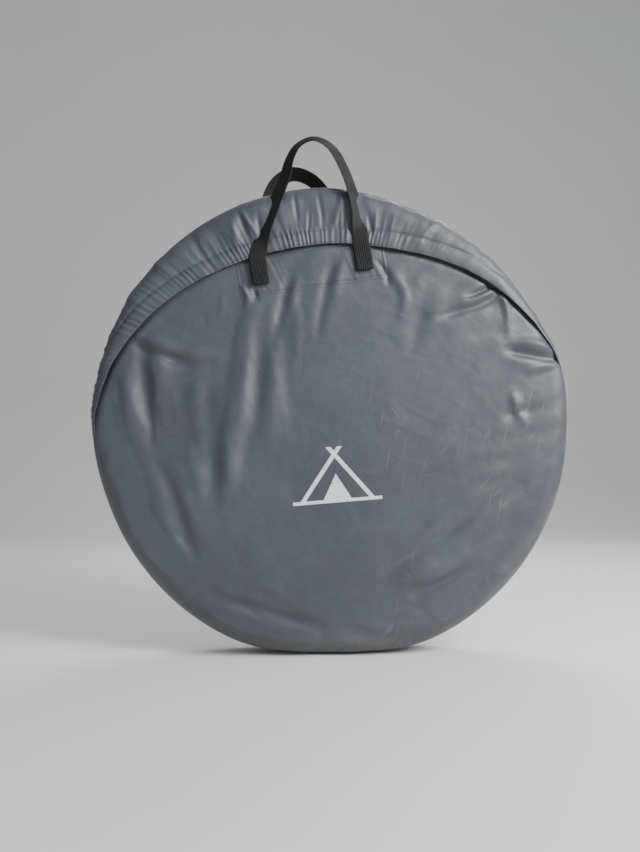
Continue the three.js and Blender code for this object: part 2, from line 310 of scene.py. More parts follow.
def even(line, count):
    """count points spaced evenly along a line of points."""
    length = np.concatenate([[0], np.cumsum(np.linalg.norm(np.diff(line, axis=0), axis=1))])
    want = np.linspace(0, length[-1], count)
    return np.stack([np.interp(want, length, line[:, k]) for k in range(line.shape[1])], axis=1)


# ---------------------------------------------------------------- material helpers


class Value:
    """A number or vector that varies over a surface, with arithmetic written as Python operators."""

    def __init__(self, tree, socket):
        self.tree, self.socket = tree, socket

    def op(self, operation, *others, clamp=False):
        node = self.tree.nodes.new("ShaderNodeMath")
        node.operation = operation
        node.use_clamp = clamp
        for slot, item in zip(node.inputs, (self, *others)):
            join(self.tree, item, slot)
        return Value(self.tree, node.outputs[0])

    def __add__(self, other):
        return self.op("ADD", other)

    def __sub__(self, other):
        return self.op("SUBTRACT", other)

    def __mul__(self, other):
        return self.op("MULTIPLY", other)

    def __truediv__(self, other):
        return self.op("DIVIDE", other)

    def __abs__(self):
        return self.op("ABSOLUTE")

    def maximum(self, other):
        return self.op("MAXIMUM", other)

    def sin(self):
        return self.op("SINE")

    def ramp(self, low, high, to_low=0.0, to_high=1.0):
        """to_low at or below low, to_high at or above high, with an S curve between."""
        node = self.tree.nodes.new("ShaderNodeMapRange")
        node.interpolation_type = "SMOOTHSTEP"
        for slot, item in zip(node.inputs, (self, low, high, to_low, to_high)):
            join(self.tree, item, slot)
        return Value(self.tree, node.outputs[0])


def join(tree, item, slot):
    """Links a Value or socket to an input, or sets the input to a constant."""
    if isinstance(item, Value):
        tree.links.new(item.socket, slot)
    elif isinstance(item, bpy.types.NodeSocket):
        tree.links.new(item, slot)
    elif hasattr(item, "__len__") and len(slot.default_value) == 4 and len(item) == 3:
        slot.default_value = (*item, 1.0)
    else:
        slot.default_value = item


def node(tree, kind, inputs=(), **values):
    """A node of that kind with its properties and named inputs set or linked."""
    made = tree.nodes.new("ShaderNode" + kind)
    for key, value in values.items():
        setattr(made, key, value)
    for key, item in dict(inputs).items():
        join(tree, item, made.inputs[key])
    return made


def noise(tree, vector, scale, detail=3.0, roughness=0.5, distortion=0.0):
    made = node(tree, "TexNoise", {
        "Vector": vector, "Scale": scale, "Detail": detail, "Roughness": roughness, "Distortion": distortion})
    return Value(tree, made.outputs["Fac"])


def stretched(tree, vector, scale, turn=(0.0, 0.0, 0.0)):
    """The vector turned and then scaled on each axis."""
    turned = node(tree, "Mapping", {"Vector": vector, "Rotation": turn})
    return node(tree, "Mapping", {"Vector": turned.outputs[0], "Scale": scale}).outputs[0]


def mix_colour(tree, share, first, second):
    made = tree.nodes.new("ShaderNodeMix")
    made.data_type = "RGBA"
    join(tree, share, made.inputs["Factor"])
    join(tree, first, made.inputs["A"])
    join(tree, second, made.inputs["B"])
    return made.outputs["Result"]


def bump(tree, height, distance, strength=1.0, normal=None):
    made = node(tree, "Bump", {"Height": height, "Distance": distance, "Strength": strength})
    if normal is not None:
        join(tree, normal, made.inputs["Normal"])
    return made.outputs[0]


def split(tree, vector):
    parts = node(tree, "SeparateXYZ", {"Vector": vector}).outputs
    return [Value(tree, part) for part in parts]


def new_group(name, inputs, outputs):
    """An empty node group with named inputs (name, type, default) and outputs (name, type)."""
    tree = bpy.data.node_groups.new(name, "ShaderNodeTree")
    for label, kind, default in inputs:
        socket = tree.interface.new_socket(name=label, in_out="INPUT", socket_type="NodeSocket" + kind)
        if default is not None:
            socket.default_value = default
    for label, kind in outputs:
        tree.interface.new_socket(name=label, in_out="OUTPUT", socket_type="NodeSocket" + kind)
    return tree, tree.nodes.new("NodeGroupInput").outputs, tree.nodes.new("NodeGroupOutput").inputs


def use_group(tree, name, inputs):
    made = tree.nodes.new("ShaderNodeGroup")
    made.node_tree = bpy.data.node_groups[name]
    for key, item in inputs.items():
        join(tree, item, made.inputs[key])
    return made.outputs


def weave_group():
    """Plain weave: threads over and under each other at the given pitch, as a height from 0 to 1."""
    tree, given, out = new_group(
        "plain_weave", [("Vector", "Vector", None), ("Pitch", "Float", 0.0006)], [("Height", "Float")])
    x, y, z = split(tree, given["Vector"])
    wave = Value(tree, given["Pitch"]).op("DIVIDE", TURN / 2)
    over = (x / wave).sin() * (z / wave).sin()
    side = (y / wave).sin()
    join(tree, (over + side * 0.5) * 0.35 + 0.5, out["Height"])


def crumple_group():
    """Creases pressed into coated cloth: three turned layers of ridged noise over soft hollows."""
    tree, given, out = new_group(
        "cloth_crumple", [("Vector", "Vector", None), ("Scale", "Float", 1.0)], [("Height", "Float")])
    scale = Value(tree, given["Scale"])
    total = noise(tree, given["Vector"], scale * 16.0, 4.0, 0.55) * 0.9
    for size, weight, turn in ((5.0, 0.50, 0.45), (12.0, 0.26, -0.75), (27.0, 0.13, 1.25)):
        turned = stretched(tree, given["Vector"], (1.0, 1.0, 0.36), (0.0, turn, 0.0))
        ridges = node(tree, "TexNoise", {
            "Vector": turned, "Scale": scale * size, "Detail": 2.5, "Roughness": 0.5, "Offset": 0.85,
            "Gain": 1.4, "Distortion": 0.25}, noise_type="RIDGED_MULTIFRACTAL")
        total = total + Value(tree, ridges.outputs["Fac"]) * weight
    join(tree, total * 0.6, out["Height"])


def wear_group():
    """Dust, rubbed patches and fine light scratches, each as a mask from 0 to 1."""
    tree, given, out = new_group(
        "cloth_wear", [("Vector", "Vector", None)],
        [("Dust", "Float"), ("Rub", "Float"), ("Scratch", "Float")])
    vector = given["Vector"]
    broad = noise(tree, vector, 3.2, 3.0, 0.55)
    grain = noise(tree, vector, 420.0, 2.0, 0.7)
    join(tree, broad.ramp(0.42, 0.75) * grain.ramp(0.35, 0.75), out["Dust"])
    join(tree, noise(tree, vector, 11.0, 5.0, 0.65, 0.6).ramp(0.50, 0.72), out["Rub"])
    lines = None
    for turn, size in ((0.85, 1.0), (-0.9, 1.3), (1.35, 0.8), (0.25, 1.1)):
        along = stretched(tree, vector, (17.0, 17.0, 620.0), (0.0, turn, 0.0))
        streak = noise(tree, along, size, 1.0, 0.4).ramp(0.70, 0.79)
        lines = streak if lines is None else lines.maximum(streak)
    patchy = noise(tree, vector, 7.0, 2.0, 0.5).ramp(0.46, 0.60)
    right = split(tree, vector)[0].ramp(-0.20, 0.25, 0.25, 1.0)
    join(tree, lines * patchy * right, out["Scratch"])


def new_material(name):
    material = bpy.data.materials.new(name)
    material.use_nodes = True
    tree = material.node_tree
    shader = tree.nodes["Principled BSDF"]
    place = tree.nodes.new("ShaderNodeTexCoord").outputs["Object"]
    return material, tree, shader, place


def cloth_material(name, colour, roughness=0.5, crumple=0.0052, ink=None, dusty=1.0):
    """Coated polyester: weave, creases, dust, rubbed patches and scratches; ink adds a printed mask."""
    material, tree, shader, place = new_material(name)
    wear = use_group(tree, "cloth_wear", {"Vector": place})
    creases = use_group(tree, "cloth_crumple", {"Vector": place, "Scale": 1.0})
    weave = use_group(tree, "plain_weave", {"Vector": place, "Pitch": 0.00075})
    x, y, z = split(tree, place)
    patches = noise(tree, place, 5.0, 4.0, 0.6)
    mottle = noise(tree, place, 60.0, 3.0, 0.65)
    dark, light = [tuple(c * f for c in colour) for f in (0.88, 1.12)]
    base = mix_colour(tree, patches.ramp(0.3, 0.7), dark, light)
    base = mix_colour(tree, mottle.ramp(0.45, 0.75) * 0.18, base, tuple(c * 1.6 for c in colour))
    # painted highlight: the creases' crests are drawn lighter in the colour, as if lit
    edge = Value(tree, creases["Height"]).ramp(0.62, 0.95)
    base = mix_colour(tree, edge * 0.16, base, tuple(c * 1.9 for c in colour))
    base = mix_colour(tree, Value(tree, wear["Rub"]) * 0.12, base, tuple(c * 1.5 for c in colour))
    low = z.ramp(0.0, 0.22, 1.0, 0.25)
    base = mix_colour(tree, Value(tree, wear["Dust"]) * low * (0.22 * dusty), base, (0.30, 0.285, 0.25))
    base = mix_colour(tree, Value(tree, wear["Scratch"]) * 0.22, base, (0.42, 0.45, 0.48))
    rough = patches.ramp(0.2, 0.8, roughness - 0.05, roughness + 0.07) + mottle.ramp(0.3, 0.8) * 0.06
    rough = rough + Value(tree, wear["Dust"]) * 0.12
    if ink is not None:
        mask, ink_colour = ink(x, y, z)
        chipped = mask * noise(tree, place, 160.0, 4.0, 0.75).ramp(0.30, 0.38)
        base = mix_colour(tree, chipped, base, ink_colour)
        rough = rough + chipped * 0.08
    join(tree, base, shader.inputs["Base Color"])
    join(tree, rough, shader.inputs["Roughness"])
    shader.inputs["Specular IOR Level"].default_value = 0.60
    shader.inputs["Sheen Weight"].default_value = 0.04
    shader.inputs["Sheen Roughness"].default_value = 0.4
    normal = bump(tree, creases["Height"], crumple, 0.55)
    join(tree, bump(tree, weave["Height"], 0.00012, 0.5, normal), shader.inputs["Normal"])
    return material


def webbing_material(name, colour):
    """Ribbed black webbing: cross threads along the ribs, with dull grey lint where it is worn."""
    material, tree, shader, place = new_material(name)
    uv = node(tree, "UVMap").outputs[0]
    across, along, _ = split(tree, uv)
    threads = (along * (TURN / 0.0011)).sin() * (across * (TURN / 0.0035)).sin()
    lint = noise(tree, place, 700.0, 2.0, 0.8).ramp(0.55, 0.8)
    worn = noise(tree, place, 30.0, 4.0, 0.6).ramp(0.35, 0.7)
    # painted highlight and shade: the threads' tops are drawn lighter and the grooves between them darker
    ridge = threads.ramp(-0.8, 1.0)
    dark, light = [tuple(c * f for c in colour) for f in (0.55, 1.9)]
    base = mix_colour(tree, ridge * 0.6 + 0.2, dark, light)
    base = mix_colour(tree, lint * worn * 0.22, base, (0.085, 0.085, 0.085))
    join(tree, base, shader.inputs["Base Color"])
    join(tree, worn.ramp(0.0, 1.0, 0.56, 0.74), shader.inputs["Roughness"])
    shader.inputs["Specular IOR Level"].default_value = 0.32
    join(tree, bump(tree, threads, 0.00018, 0.7), shader.inputs["Normal"])
    return material


def plain_material(name, colour, roughness, metallic=0.0, grain=400.0, depth=0.00008, spread=0.16):
    """Moulded, drawn or coated stock: mottled colour and roughness with a fine grain."""
    material, tree, shader, place = new_material(name)
    patches = noise(tree, place, 38.0, 4.0, 0.6)
    fine = noise(tree, place, grain, 3.0, 0.6)
    low, high = [tuple(min(1, c * f) for c in colour) for f in (1 - spread, 1 + spread)]
    join(tree, mix_colour(tree, patches.ramp(0.3, 0.7), low, high), shader.inputs["Base Color"])
    join(tree, fine.ramp(0.3, 0.7, roughness - 0.06, roughness + 0.1), shader.inputs["Roughness"])
    shader.inputs["Metallic"].default_value = metallic
    join(tree, bump(tree, fine, depth, 0.6), shader.inputs["Normal"])
    return material


def tent_print(x, y, z):
    """The printed sign as a mask: a plain tent with crossed poles, a door and a line of ground."""
    look = settings("tent_print")
    tilt, edge = math.radians(4.5), 0.0005
    c, s = math.cos(tilt), math.sin(tilt)

    def placed(across, up):
        """Coordinates turned by the print's tilt about a point across and up from the disc's centre."""
        dx, dz = x - (F.centre[0] + across), z - (F.centre[2] + up)
        return dx * c + dz * s, dz * c - dx * s

    def line(value, width):
        return abs(value).ramp(width / 2 - edge, width / 2 + edge, 1.0, 0.0)

    def inside(value, limit=0.0):
        """1 where value is below limit."""
        return value.ramp(limit - edge, limit + edge, 1.0, 0.0)

    a, b = placed(0.0, -0.100)
    half, height, bar = look.half_width, look.half_width * 1.30, look.stroke
    slope = half / height
    rise = b + height / 2
    poles = line((abs(a) - abs(rise * -1.0 + height) * slope) * (1 / math.hypot(1, slope)), bar)
    poles = poles * inside(rise, height * 1.16) * inside(rise * -1.0, 0.0)
    door = inside(abs(a) - (rise * -1.0 + height * 0.58) * (slope * 0.72)) * inside(rise * -1.0, 0.0)
    ground = line(rise, bar * 0.8) * inside(abs(a), half * 1.25)
    mask = poles
    for shape in (door, ground):
        mask = mask.maximum(shape)
    return mask * inside(y, 0.0), tuple(look.ink)


# ---------------------------------------------------------------- the bag's form


def floor_reach(angle, radius):
    """The rim's distance from the centre: the disc's radius, less where the flat base cuts it off.

    The mouth's cloth also sags a little onto the hoops at the upper right.
    """
    drop = -(np.sin(angle) * F.across[2] + np.cos(angle) * F.up[2])
    limit = F.centre[2] / np.maximum(drop, 1e-3)
    sag = 0.0120 * smoothstep(0.04, 0.55, angle) * (1 - smoothstep(1.15, 1.60, angle))
    return ((radius - sag) ** -40.0 + limit ** -40.0) ** (-1 / 40.0)


def mouth_share(angle):
    """1 where the bag's mouth is, over the top, and 0 round the lower rim."""
    return 1 - smoothstep(math.radians(84), math.radians(104), np.abs(angle))


RIM_ARC = 0.060       # length of panel that turns over the rim
SEAM = 0.018          # half width of the gusset round the lower rim
MOUTH_EDGE = 0.036    # how far from the mid-plane a panel's edge stands at the mouth

# Folds of the front panel: points across (x) and up (z) from the disc's centre, width, height (out is +).
FRONT_FOLDS = [
    # long soft ridges and hollows that hang from the hood at the upper left
    ([(-0.300, 0.122), (-0.293, 0.065), (-0.280, -0.005), (-0.258, -0.075), (-0.238, -0.150),
      (-0.222, -0.200)], 0.024, 0.0095),
    ([(-0.326, 0.128), (-0.319, 0.068), (-0.311, 0.015), (-0.304, -0.035)], 0.0150, -0.0068),
    ([(-0.140, 0.190), (-0.155, 0.130), (-0.167, 0.030), (-0.180, -0.055), (-0.188, -0.125)], 0.016, 0.0075),
    ([(-0.212, 0.090), (-0.214, 0.010), (-0.208, -0.070), (-0.206, -0.130)], 0.017, -0.0055),
    ([(-0.118, 0.150), (-0.132, 0.070), (-0.142, -0.020)], 0.015, -0.0048),
    ([(-0.070, 0.190), (-0.069, 0.120), (-0.072, 0.050)], 0.013, 0.0028),
    ([(-0.352, 0.085), (-0.349, 0.030), (-0.345, -0.020)], 0.016, 0.0048),
    # tuck that starts under the hood's edge at the left
    ([(-0.345, 0.142), (-0.305, 0.125), (-0.262, 0.112), (-0.215, 0.110)], 0.0090, 0.0046),
    ([(-0.335, 0.122), (-0.292, 0.104), (-0.250, 0.092), (-0.215, 0.092)], 0.0110, -0.0050),
    ([(-0.226, 0.182), (-0.222, 0.160), (-0.224, 0.140)], 0.007, -0.0018),
    ([(-0.196, 0.215), (-0.194, 0.180), (-0.200, 0.145)], 0.010, 0.0022),
    # lower left, falling towards the base
    ([(-0.370, -0.065), (-0.330, -0.120), (-0.285, -0.195), (-0.255, -0.235)], 0.017, 0.0046),
    ([(-0.305, -0.075), (-0.275, -0.120), (-0.255, -0.180), (-0.235, -0.225)], 0.015, -0.0056),
    ([(-0.352, -0.135), (-0.310, -0.205), (-0.268, -0.262)], 0.013, 0.0036),
    # soft level folds above the base
    ([(-0.165, -0.276), (-0.110, -0.284), (-0.060, -0.292)], 0.012, 0.0036),
    ([(-0.200, -0.296), (-0.107, -0.322), (-0.029, -0.341)], 0.010, -0.0042),
    ([(-0.206, -0.325), (-0.138, -0.342), (-0.040, -0.360)], 0.011, 0.0032),
    ([(0.020, -0.352), (0.100, -0.366), (0.165, -0.350)], 0.012, -0.0036),
    # long slanting folds at the lower right
    ([(0.082, -0.247), (0.135, -0.225), (0.195, -0.185), (0.256, -0.142), (0.312, -0.116)], 0.012, -0.0062),
    ([(0.095, -0.268), (0.150, -0.256), (0.214, -0.232), (0.270, -0.205)], 0.013, 0.0050),
    ([(0.120, -0.292), (0.188, -0.265), (0.232, -0.246)], 0.010, -0.0052),
    ([(0.280, -0.250), (0.325, -0.212), (0.352, -0.180)], 0.011, -0.0046),
    ([(0.240, -0.290), (0.300, -0.252)], 0.012, 0.0030),
    ([(0.240, -0.100), (0.305, -0.082), (0.352, -0.052)], 0.013, 0.0032),
    # creases that run in from the hood's edge at the upper right
    ([(0.286, 0.236), (0.256, 0.222), (0.228, 0.209)], 0.0055, -0.0058),
    ([(0.290, 0.229), (0.262, 0.205), (0.215, 0.188), (0.180, 0.176)], 0.0085, -0.0058),
    ([(0.275, 0.222), (0.240, 0.204), (0.205, 0.196)], 0.007, 0.0046),
    ([(0.289, 0.232), (0.296, 0.190), (0.298, 0.145)], 0.007, 0.0040),
    ([(0.158, 0.225), (0.140, 0.160), (0.125, 0.105)], 0.018, -0.0036),
    ([(0.100, 0.252), (0.118, 0.215), (0.112, 0.180)], 0.009, 0.0024),
    # tuck at the right edge
    ([(0.390, 0.105), (0.355, 0.108), (0.318, 0.113), (0.296, 0.118)], 0.0085, -0.0076),
    ([(0.388, 0.122), (0.350, 0.128), (0.312, 0.134)], 0.009, 0.0036),
    ([(0.385, 0.096), (0.352, 0.090), (0.330, 0.082)], 0.006, 0.0032),
    ([(0.304, 0.045), (0.310, 0.020), (0.322, -0.004)], 0.009, 0.0034),
    ([(0.290, 0.005), (0.315, 0.012), (0.352, 0.022)], 0.008, -0.0026),
    # pulls round the handle's patch
    ([(-0.078, 0.245), (-0.088, 0.205), (-0.098, 0.165), (-0.110, 0.120)], 0.0090, -0.0026),
    ([(-0.066, 0.240), (-0.074, 0.205), (-0.080, 0.180)], 0.008, 0.0016),
    ([(-0.004, 0.270), (-0.016, 0.225), (-0.030, 0.160), (-0.040, 0.120)], 0.0095, -0.0024),
    ([(0.010, 0.268), (0.003, 0.235), (-0.004, 0.205)], 0.009, 0.0014),
    ([(0.072, 0.272), (0.088, 0.250), (0.092, 0.228)], 0.005, -0.0026),
    ([(-0.160, 0.225), (-0.150, 0.205), (-0.152, 0.185)], 0.005, 0.0026),
    ([(-0.140, 0.222), (-0.134, 0.200)], 0.0045, -0.0026),
]

BACK_FOLDS = [
    ([(-0.300, 0.150), (-0.240, 0.020), (-0.190, -0.120)], 0.022, 0.0045),
    ([(-0.250, 0.180), (-0.190, 0.050), (-0.150, -0.080)], 0.016, -0.0036),
    ([(0.310, 0.130), (0.235, 0.060), (0.150, 0.030)], 0.014, -0.0042),
    ([(0.300, 0.170), (0.220, 0.100), (0.120, 0.075)], 0.014, 0.0040),
    ([(-0.330, -0.110), (-0.220, -0.190), (-0.080, -0.235)], 0.015, 0.0040),
    ([(-0.300, -0.160), (-0.200, -0.235), (-0.060, -0.280)], 0.012, -0.0036),
    ([(0.080, -0.270), (0.200, -0.220), (0.310, -0.130)], 0.013, -0.0044),
    ([(0.060, -0.320), (0.180, -0.290), (0.290, -0.200)], 0.013, 0.0036),
    ([(0.020, 0.215), (0.030, 0.120), (0.060, 0.020)], 0.013, 0.0030),
    ([(-0.080, 0.205), (-0.085, 0.120), (-0.060, 0.060)], 0.010, -0.0028),
    ([(0.385, -0.030), (0.330, -0.020), (0.270, -0.028)], 0.009, -0.0050),
    ([(-0.388, 0.060), (-0.330, 0.045), (-0.275, 0.050)], 0.009, -0.0046),
]


def fold_height(x, z, folds):
    """Sum of the folds: each is a bell of the distance to its line, which fades towards the line's ends."""
    total = np.zeros_like(x)
    for points, width, height in folds:
        line = through(points, 7)
        centre = line.mean(axis=0)
        reach = np.linalg.norm(line - centre, axis=1).max() + 3.2 * width
        near = np.hypot(x - centre[0], z - centre[1]) < reach
        px, pz = x[near][:, None], z[near][:, None]
        a, step = line[:-1], np.diff(line, axis=0)
        t = ((px - a[:, 0]) * step[:, 0] + (pz - a[:, 1]) * step[:, 1]) / (step ** 2).sum(axis=1)
        t = np.clip(t, 0, 1)
        gap = np.hypot(px - a[:, 0] - t * step[:, 0], pz - a[:, 1] - t * step[:, 1])
        best = gap.argmin(axis=1)
        rows = np.arange(len(best))
        along = (best + t[rows, best]) / len(step)
        fade = np.clip(np.sin(math.pi * (0.06 + 0.88 * along)), 0, 1) ** 0.7
        total[near] += height * fade * bell(gap[rows, best], width)
    return total


def panel_points(side, rho, angle):
    """A panel's surface. rho runs from 0 at the middle to 1 at its seam, side is -1 in front and 1 behind.

    The panel is almost flat, then turns down to its seam on a quarter ellipse; at the bag's mouth it turns
    less, so that its edge stands open. Folds, then soft waves, push it in and out along y.
    """
    bag = settings("tent_bag")
    mouth = mouth_share(angle)
    reach = floor_reach(angle, F.panel_radius)
    turn_in = bag.rim_round
    edge_y = SEAM + (MOUTH_EDGE - SEAM) * mouth
    flat = reach - turn_in
    length = flat + RIM_ARC
    along = rho * length
    over = np.clip((along - flat) / RIM_ARC, 0, 1) * (math.pi / 2)
    radius = np.where(along < flat, along, flat + turn_in * np.sin(over))
    dome = bag.dome * (np.minimum(along, flat) / flat) ** 2
    face = F.panel_face - 0.0005 - dome
    depth = edge_y + (face - edge_y) * np.cos(over)
    u, v = radius * np.sin(angle), radius * np.cos(angle)
    x = u * F.across[0] + v * F.up[0]
    z = u * F.across[2] + v * F.up[2]
    folds = FRONT_FOLDS if side < 0 else BACK_FOLDS
    height = fold_height(x, z, folds) * bag.fold_depth
    seed = 5 if side < 0 else 17
    height += 0.0011 * field_noise(x, z, seed, 0.14, 1.6, 1.2)
    height += 0.00055 * field_noise(x, z, seed + 1, 0.045, 2.2, 0.6) * smoothstep(0.05, 0.30, np.hypot(x, z))
    pucker = smooth_noise(angle * F.panel_radius, seed + 3, 0.016, 2)
    height += 0.0011 * pucker * smoothstep(0.75, 1.0, rho) * (1 - mouth)
    height *= 1 - smoothstep(0.955, 1.0, rho)
    height *= 1 - 0.85 * bell(np.abs(u) - 0.090, 0.017) * bell(v - 0.265, 0.026)
    if side < 0:
        under = smoothstep(-0.012, 0.003, radius - hem_radius(angle)) * mouth
        height = np.where(height > 0, height * (1 - under), height)
        height -= under * (0.0024 + 0.0036 * bell(angle + 1.15, 0.28) + 0.0026 * bell(angle - 1.05, 0.25))
    height = np.where(height > 0, 0.0100 * np.tanh(height / 0.0100), height)
    return world(u, side * (depth + height * np.cos(over * 0.8)), v)


def disc_grid(count):
    """A square grid of count points a side mapped onto a disc, so its quads are even: rho and angle."""
    a, b = np.meshgrid(np.linspace(-1, 1, count), np.linspace(-1, 1, count), indexing="ij")
    p, q = a * np.sqrt(1 - b * b / 2), b * np.sqrt(1 - a * a / 2)
    return np.minimum(np.hypot(p, q), 1.0), np.arctan2(p, q)


def rest_on_floor(points):
    """Cloth that would go below the floor lies just above it."""
    clearance = 0.0006
    points[..., 2] = np.maximum(points[..., 2], clearance)
    return points


def settle(points, pinned, side, frames=22):
    """How far each point of a panel's cloth moves when it is let go, by a cloth simulation on a coarser grid.

    The cloth is a little larger than its drawn shape. It hangs from its pinned points and lies against the
    pack, so the slack gathers into folds of its own.
    """
    rows, cols = points.shape[:2]
    cloth = add_mesh("slack_cloth", points, grid_quads(rows, cols), material("slate cloth"))
    pins = cloth.vertex_groups.new(name="pinned")
    pins.add(np.flatnonzero(pinned.ravel()).tolist(), 1.0, "REPLACE")
    hanging = cloth.modifiers.new("cloth", "CLOTH")
    made = hanging.settings
    made.quality, made.mass, made.vertex_group_mass = 6, 0.05, "pinned"
    made.tension_stiffness = made.compression_stiffness = 30
    made.shear_stiffness, made.bending_stiffness = 14, 7.0
    made.tension_damping = made.compression_damping = made.bending_damping = 12
    made.air_damping = 3.0
    made.shrink_min = made.shrink_max = -0.0080
    hanging.collision_settings.distance_min = 0.0015
    hanging.point_cache.frame_start, hanging.point_cache.frame_end = 1, frames

    angle = np.linspace(0, TURN, 64, endpoint=False)[None, :]
    radius = np.array([0.001, 0.19, 0.386, 0.386])[:, None]
    depth = np.array([0.0425, 0.0425, 0.0405, 0.030])[:, None]
    pad = world(radius * np.sin(angle), side * depth, radius * np.cos(angle))
    faces = grid_quads(4, 64, close_cols=True)
    blocker = add_mesh("pack_face", pad, faces[:, ::-1] if side < 0 else faces, material("slate cloth"))
    blocker.modifiers.new("collision", "COLLISION")
    blocker.collision.thickness_outer = 0.001
    scene = bpy.context.scene
    for step in range(1, frames + 1):
        scene.frame_set(step)
    hung = cloth.evaluated_get(bpy.context.evaluated_depsgraph_get()).to_mesh()
    after = np.empty(rows * cols * 3)
    hung.vertices.foreach_get("co", after)
    scene.frame_set(1)
    for piece in (cloth, blocker):
        mesh = piece.data
        bpy.data.objects.remove(piece)
        bpy.data.meshes.remove(mesh)
    return after.reshape(points.shape) - points


def softened(values, passes):
    """A grid's values after some passes of a 1-2-1 average along both sides."""
    for _ in range(passes):
        for axis in (0, 1):
            edge = np.pad(values, [(1, 1) if axis == k else (0, 0) for k in range(3)], mode="edge")
            values = (np.take(edge, range(0, values.shape[axis]), axis) + 2 * values
                      + np.take(edge, range(2, values.shape[axis] + 2), axis)) / 4
    return values


def finer(values):
    """A grid's values on a grid twice as fine, where halfway points are averages."""
    rows, cols = values.shape[:2]
    fine = np.zeros((2 * rows - 1, 2 * cols - 1, values.shape[2]))
    fine[::2, ::2] = values
    fine[1::2, ::2] = (values[1:] + values[:-1]) / 2
    fine[:, 1::2] = (fine[:, 2::2] + fine[:, :-2:2]) / 2
    return softened(fine, 1)


def slack(side, rho, angle, points):
    """The panel's settling, held still at its seam, under the hood and where the patch is sewn to it."""
    coarse = points[::2, ::2]
    rho, angle = rho[::2, ::2], angle[::2, ::2]
    radius = rho * F.panel_radius
    u, v = radius * np.sin(angle), radius * np.cos(angle)
    pinned = (rho > 0.925) | ((np.abs(u) < 0.142) & (v > 0.212) & (v < 0.312))
    if side < 0:
        pinned |= radius > hem_radius(angle) - 0.014
    moved = settle(coarse, pinned, side)
    hold = softened(1.0 - pinned[..., None].astype(float), 4)
    moved = finer((softened(moved, 9) * 1.5 + moved * 0.16) * hold ** 2)
    innermost, outermost = 0.0475, 0.0660
    drawn = side * points[..., 1]
    depth = np.clip(drawn + side * moved[..., 1],
                    np.minimum(drawn, innermost), np.maximum(drawn, outermost))
    moved[..., 1] = side * (depth - drawn)
    return moved


def make_panel(side, name, node_name, material):
    bag = settings("tent_bag")
    rho, angle = disc_grid(bag.panel_grid + 1)
    points = rest_on_floor(panel_points(side, rho, angle))
    if side < 0:
        points = rest_on_floor(points + slack(side, rho, angle, points))
    count = bag.panel_grid + 1
    faces = grid_quads(count, count)
    if side < 0:
        faces = faces[:, ::-1]
    uv = np.stack([points[..., 0], points[..., 2]], axis=-1)
    obj = thicken(add_mesh(name, points, faces, material, uv), bag.cloth_thickness)
    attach(obj, "bag")
    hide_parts(node_name)
    return obj


def panel_height(side, u, v):
    """The panel's y at places across and up the bag, by taking rho from the flat part of the panel."""
    angle, radius = np.arctan2(u, v), np.hypot(u, v)
    length = floor_reach(angle, F.panel_radius) - settings("tent_bag").rim_round + RIM_ARC
    return panel_points(side, radius / length, angle)[..., 1]


# ---------------------------------------------------------------- the hood's form


def hood_section():
    """Half of the hood's section as (distance from the rim's middle line, radius, depth).

    It runs level to the rim's corner, turns it on a quarter ellipse and goes in towards the disc's middle.
    """
    level, turn_r, turn_y = 0.026, 0.034, 0.0262
    t = np.linspace(0, math.pi / 2, 40)
    radius = np.concatenate([[F.hood_radius], F.hood_radius - turn_r * (1 - np.cos(t)), [0.20]])
    depth = np.concatenate([[0.0], level + turn_y * np.sin(t), [level + turn_y + 0.0005]])
    length = np.concatenate([[0], np.cumsum(np.hypot(np.diff(radius), np.diff(depth)))])
    return length, radius, depth


HEM_END = 0.037       # from the rim's middle line to the hem at the hood's ends


def hem_length(angle):
    """How far from the rim's middle line the hem is: farthest at the top, and at the rim at the ends."""
    fall = np.maximum(np.cos(angle), 0) ** 1.45
    return HEM_END + settings("tent_hood").hem_depth * fall


def hem_radius(angle):
    """The hem's distance from the disc's centre as the front shows it."""
    length, radius, _ = hood_section()
    return np.interp(hem_length(angle), length, radius) * floor_reach(angle, F.hood_radius) / F.hood_radius


HOOD_HALF = math.radians(94)
ELASTIC_HALF = math.radians(84)
HOOD_BACK = 0.074     # from the rim's middle line to the seam on the back panel


def hood_gather(angle, to_hem):
    """Gathers of the hood, in and out of its surface, from the distance to the hem.

    Sharp short waves fill the casing, join into broader ones above it and fade; the right side is smooth.
    """
    hood = settings("tent_hood")
    arc = angle * F.hood_radius
    phase = arc / 0.0112 + 0.55 * smooth_noise(arc, 31, 0.030, 2) + 0.4 * np.sin(arc * 41)
    ruffle = 0.62 - np.abs(np.sin(math.pi * phase))
    ruffle = ruffle * (0.75 + 0.45 * smooth_noise(arc, 33, 0.022, 1))
    lean = to_hem * 0.35 * smooth_noise(arc, 35, 0.060, 1)
    medium = 0.55 - np.abs(smooth_noise(arc + lean, 37, 0.0145, 2)) * 1.6
    broad = smooth_noise(arc + 1.4 * lean, 41, 0.036, 2)
    left = 1 - smoothstep(0.12, 0.80, angle)
    strength = 0.13 + 0.87 * left * (1 - 0.35 * smoothstep(-1.25, -1.60, angle))
    above = to_hem - hood.casing
    casing = 1 - smoothstep(hood.casing * 0.75, hood.casing * 1.25, to_hem)
    casing = casing * (0.55 + 0.45 * bell(above, 0.012))
    wave = strength * hood.gather * (0.95 * ruffle * casing + 0.80 * medium * bell(above - 0.012, 0.018)
                                     + 0.95 * broad * bell(above - 0.034, 0.032))
    stitch = -0.0016 * bell(above, 0.0026)
    tube = 0.0016 * np.sin(np.clip(to_hem / hood.casing, 0, 1) * math.pi) ** 0.6
    return wave + stitch + tube


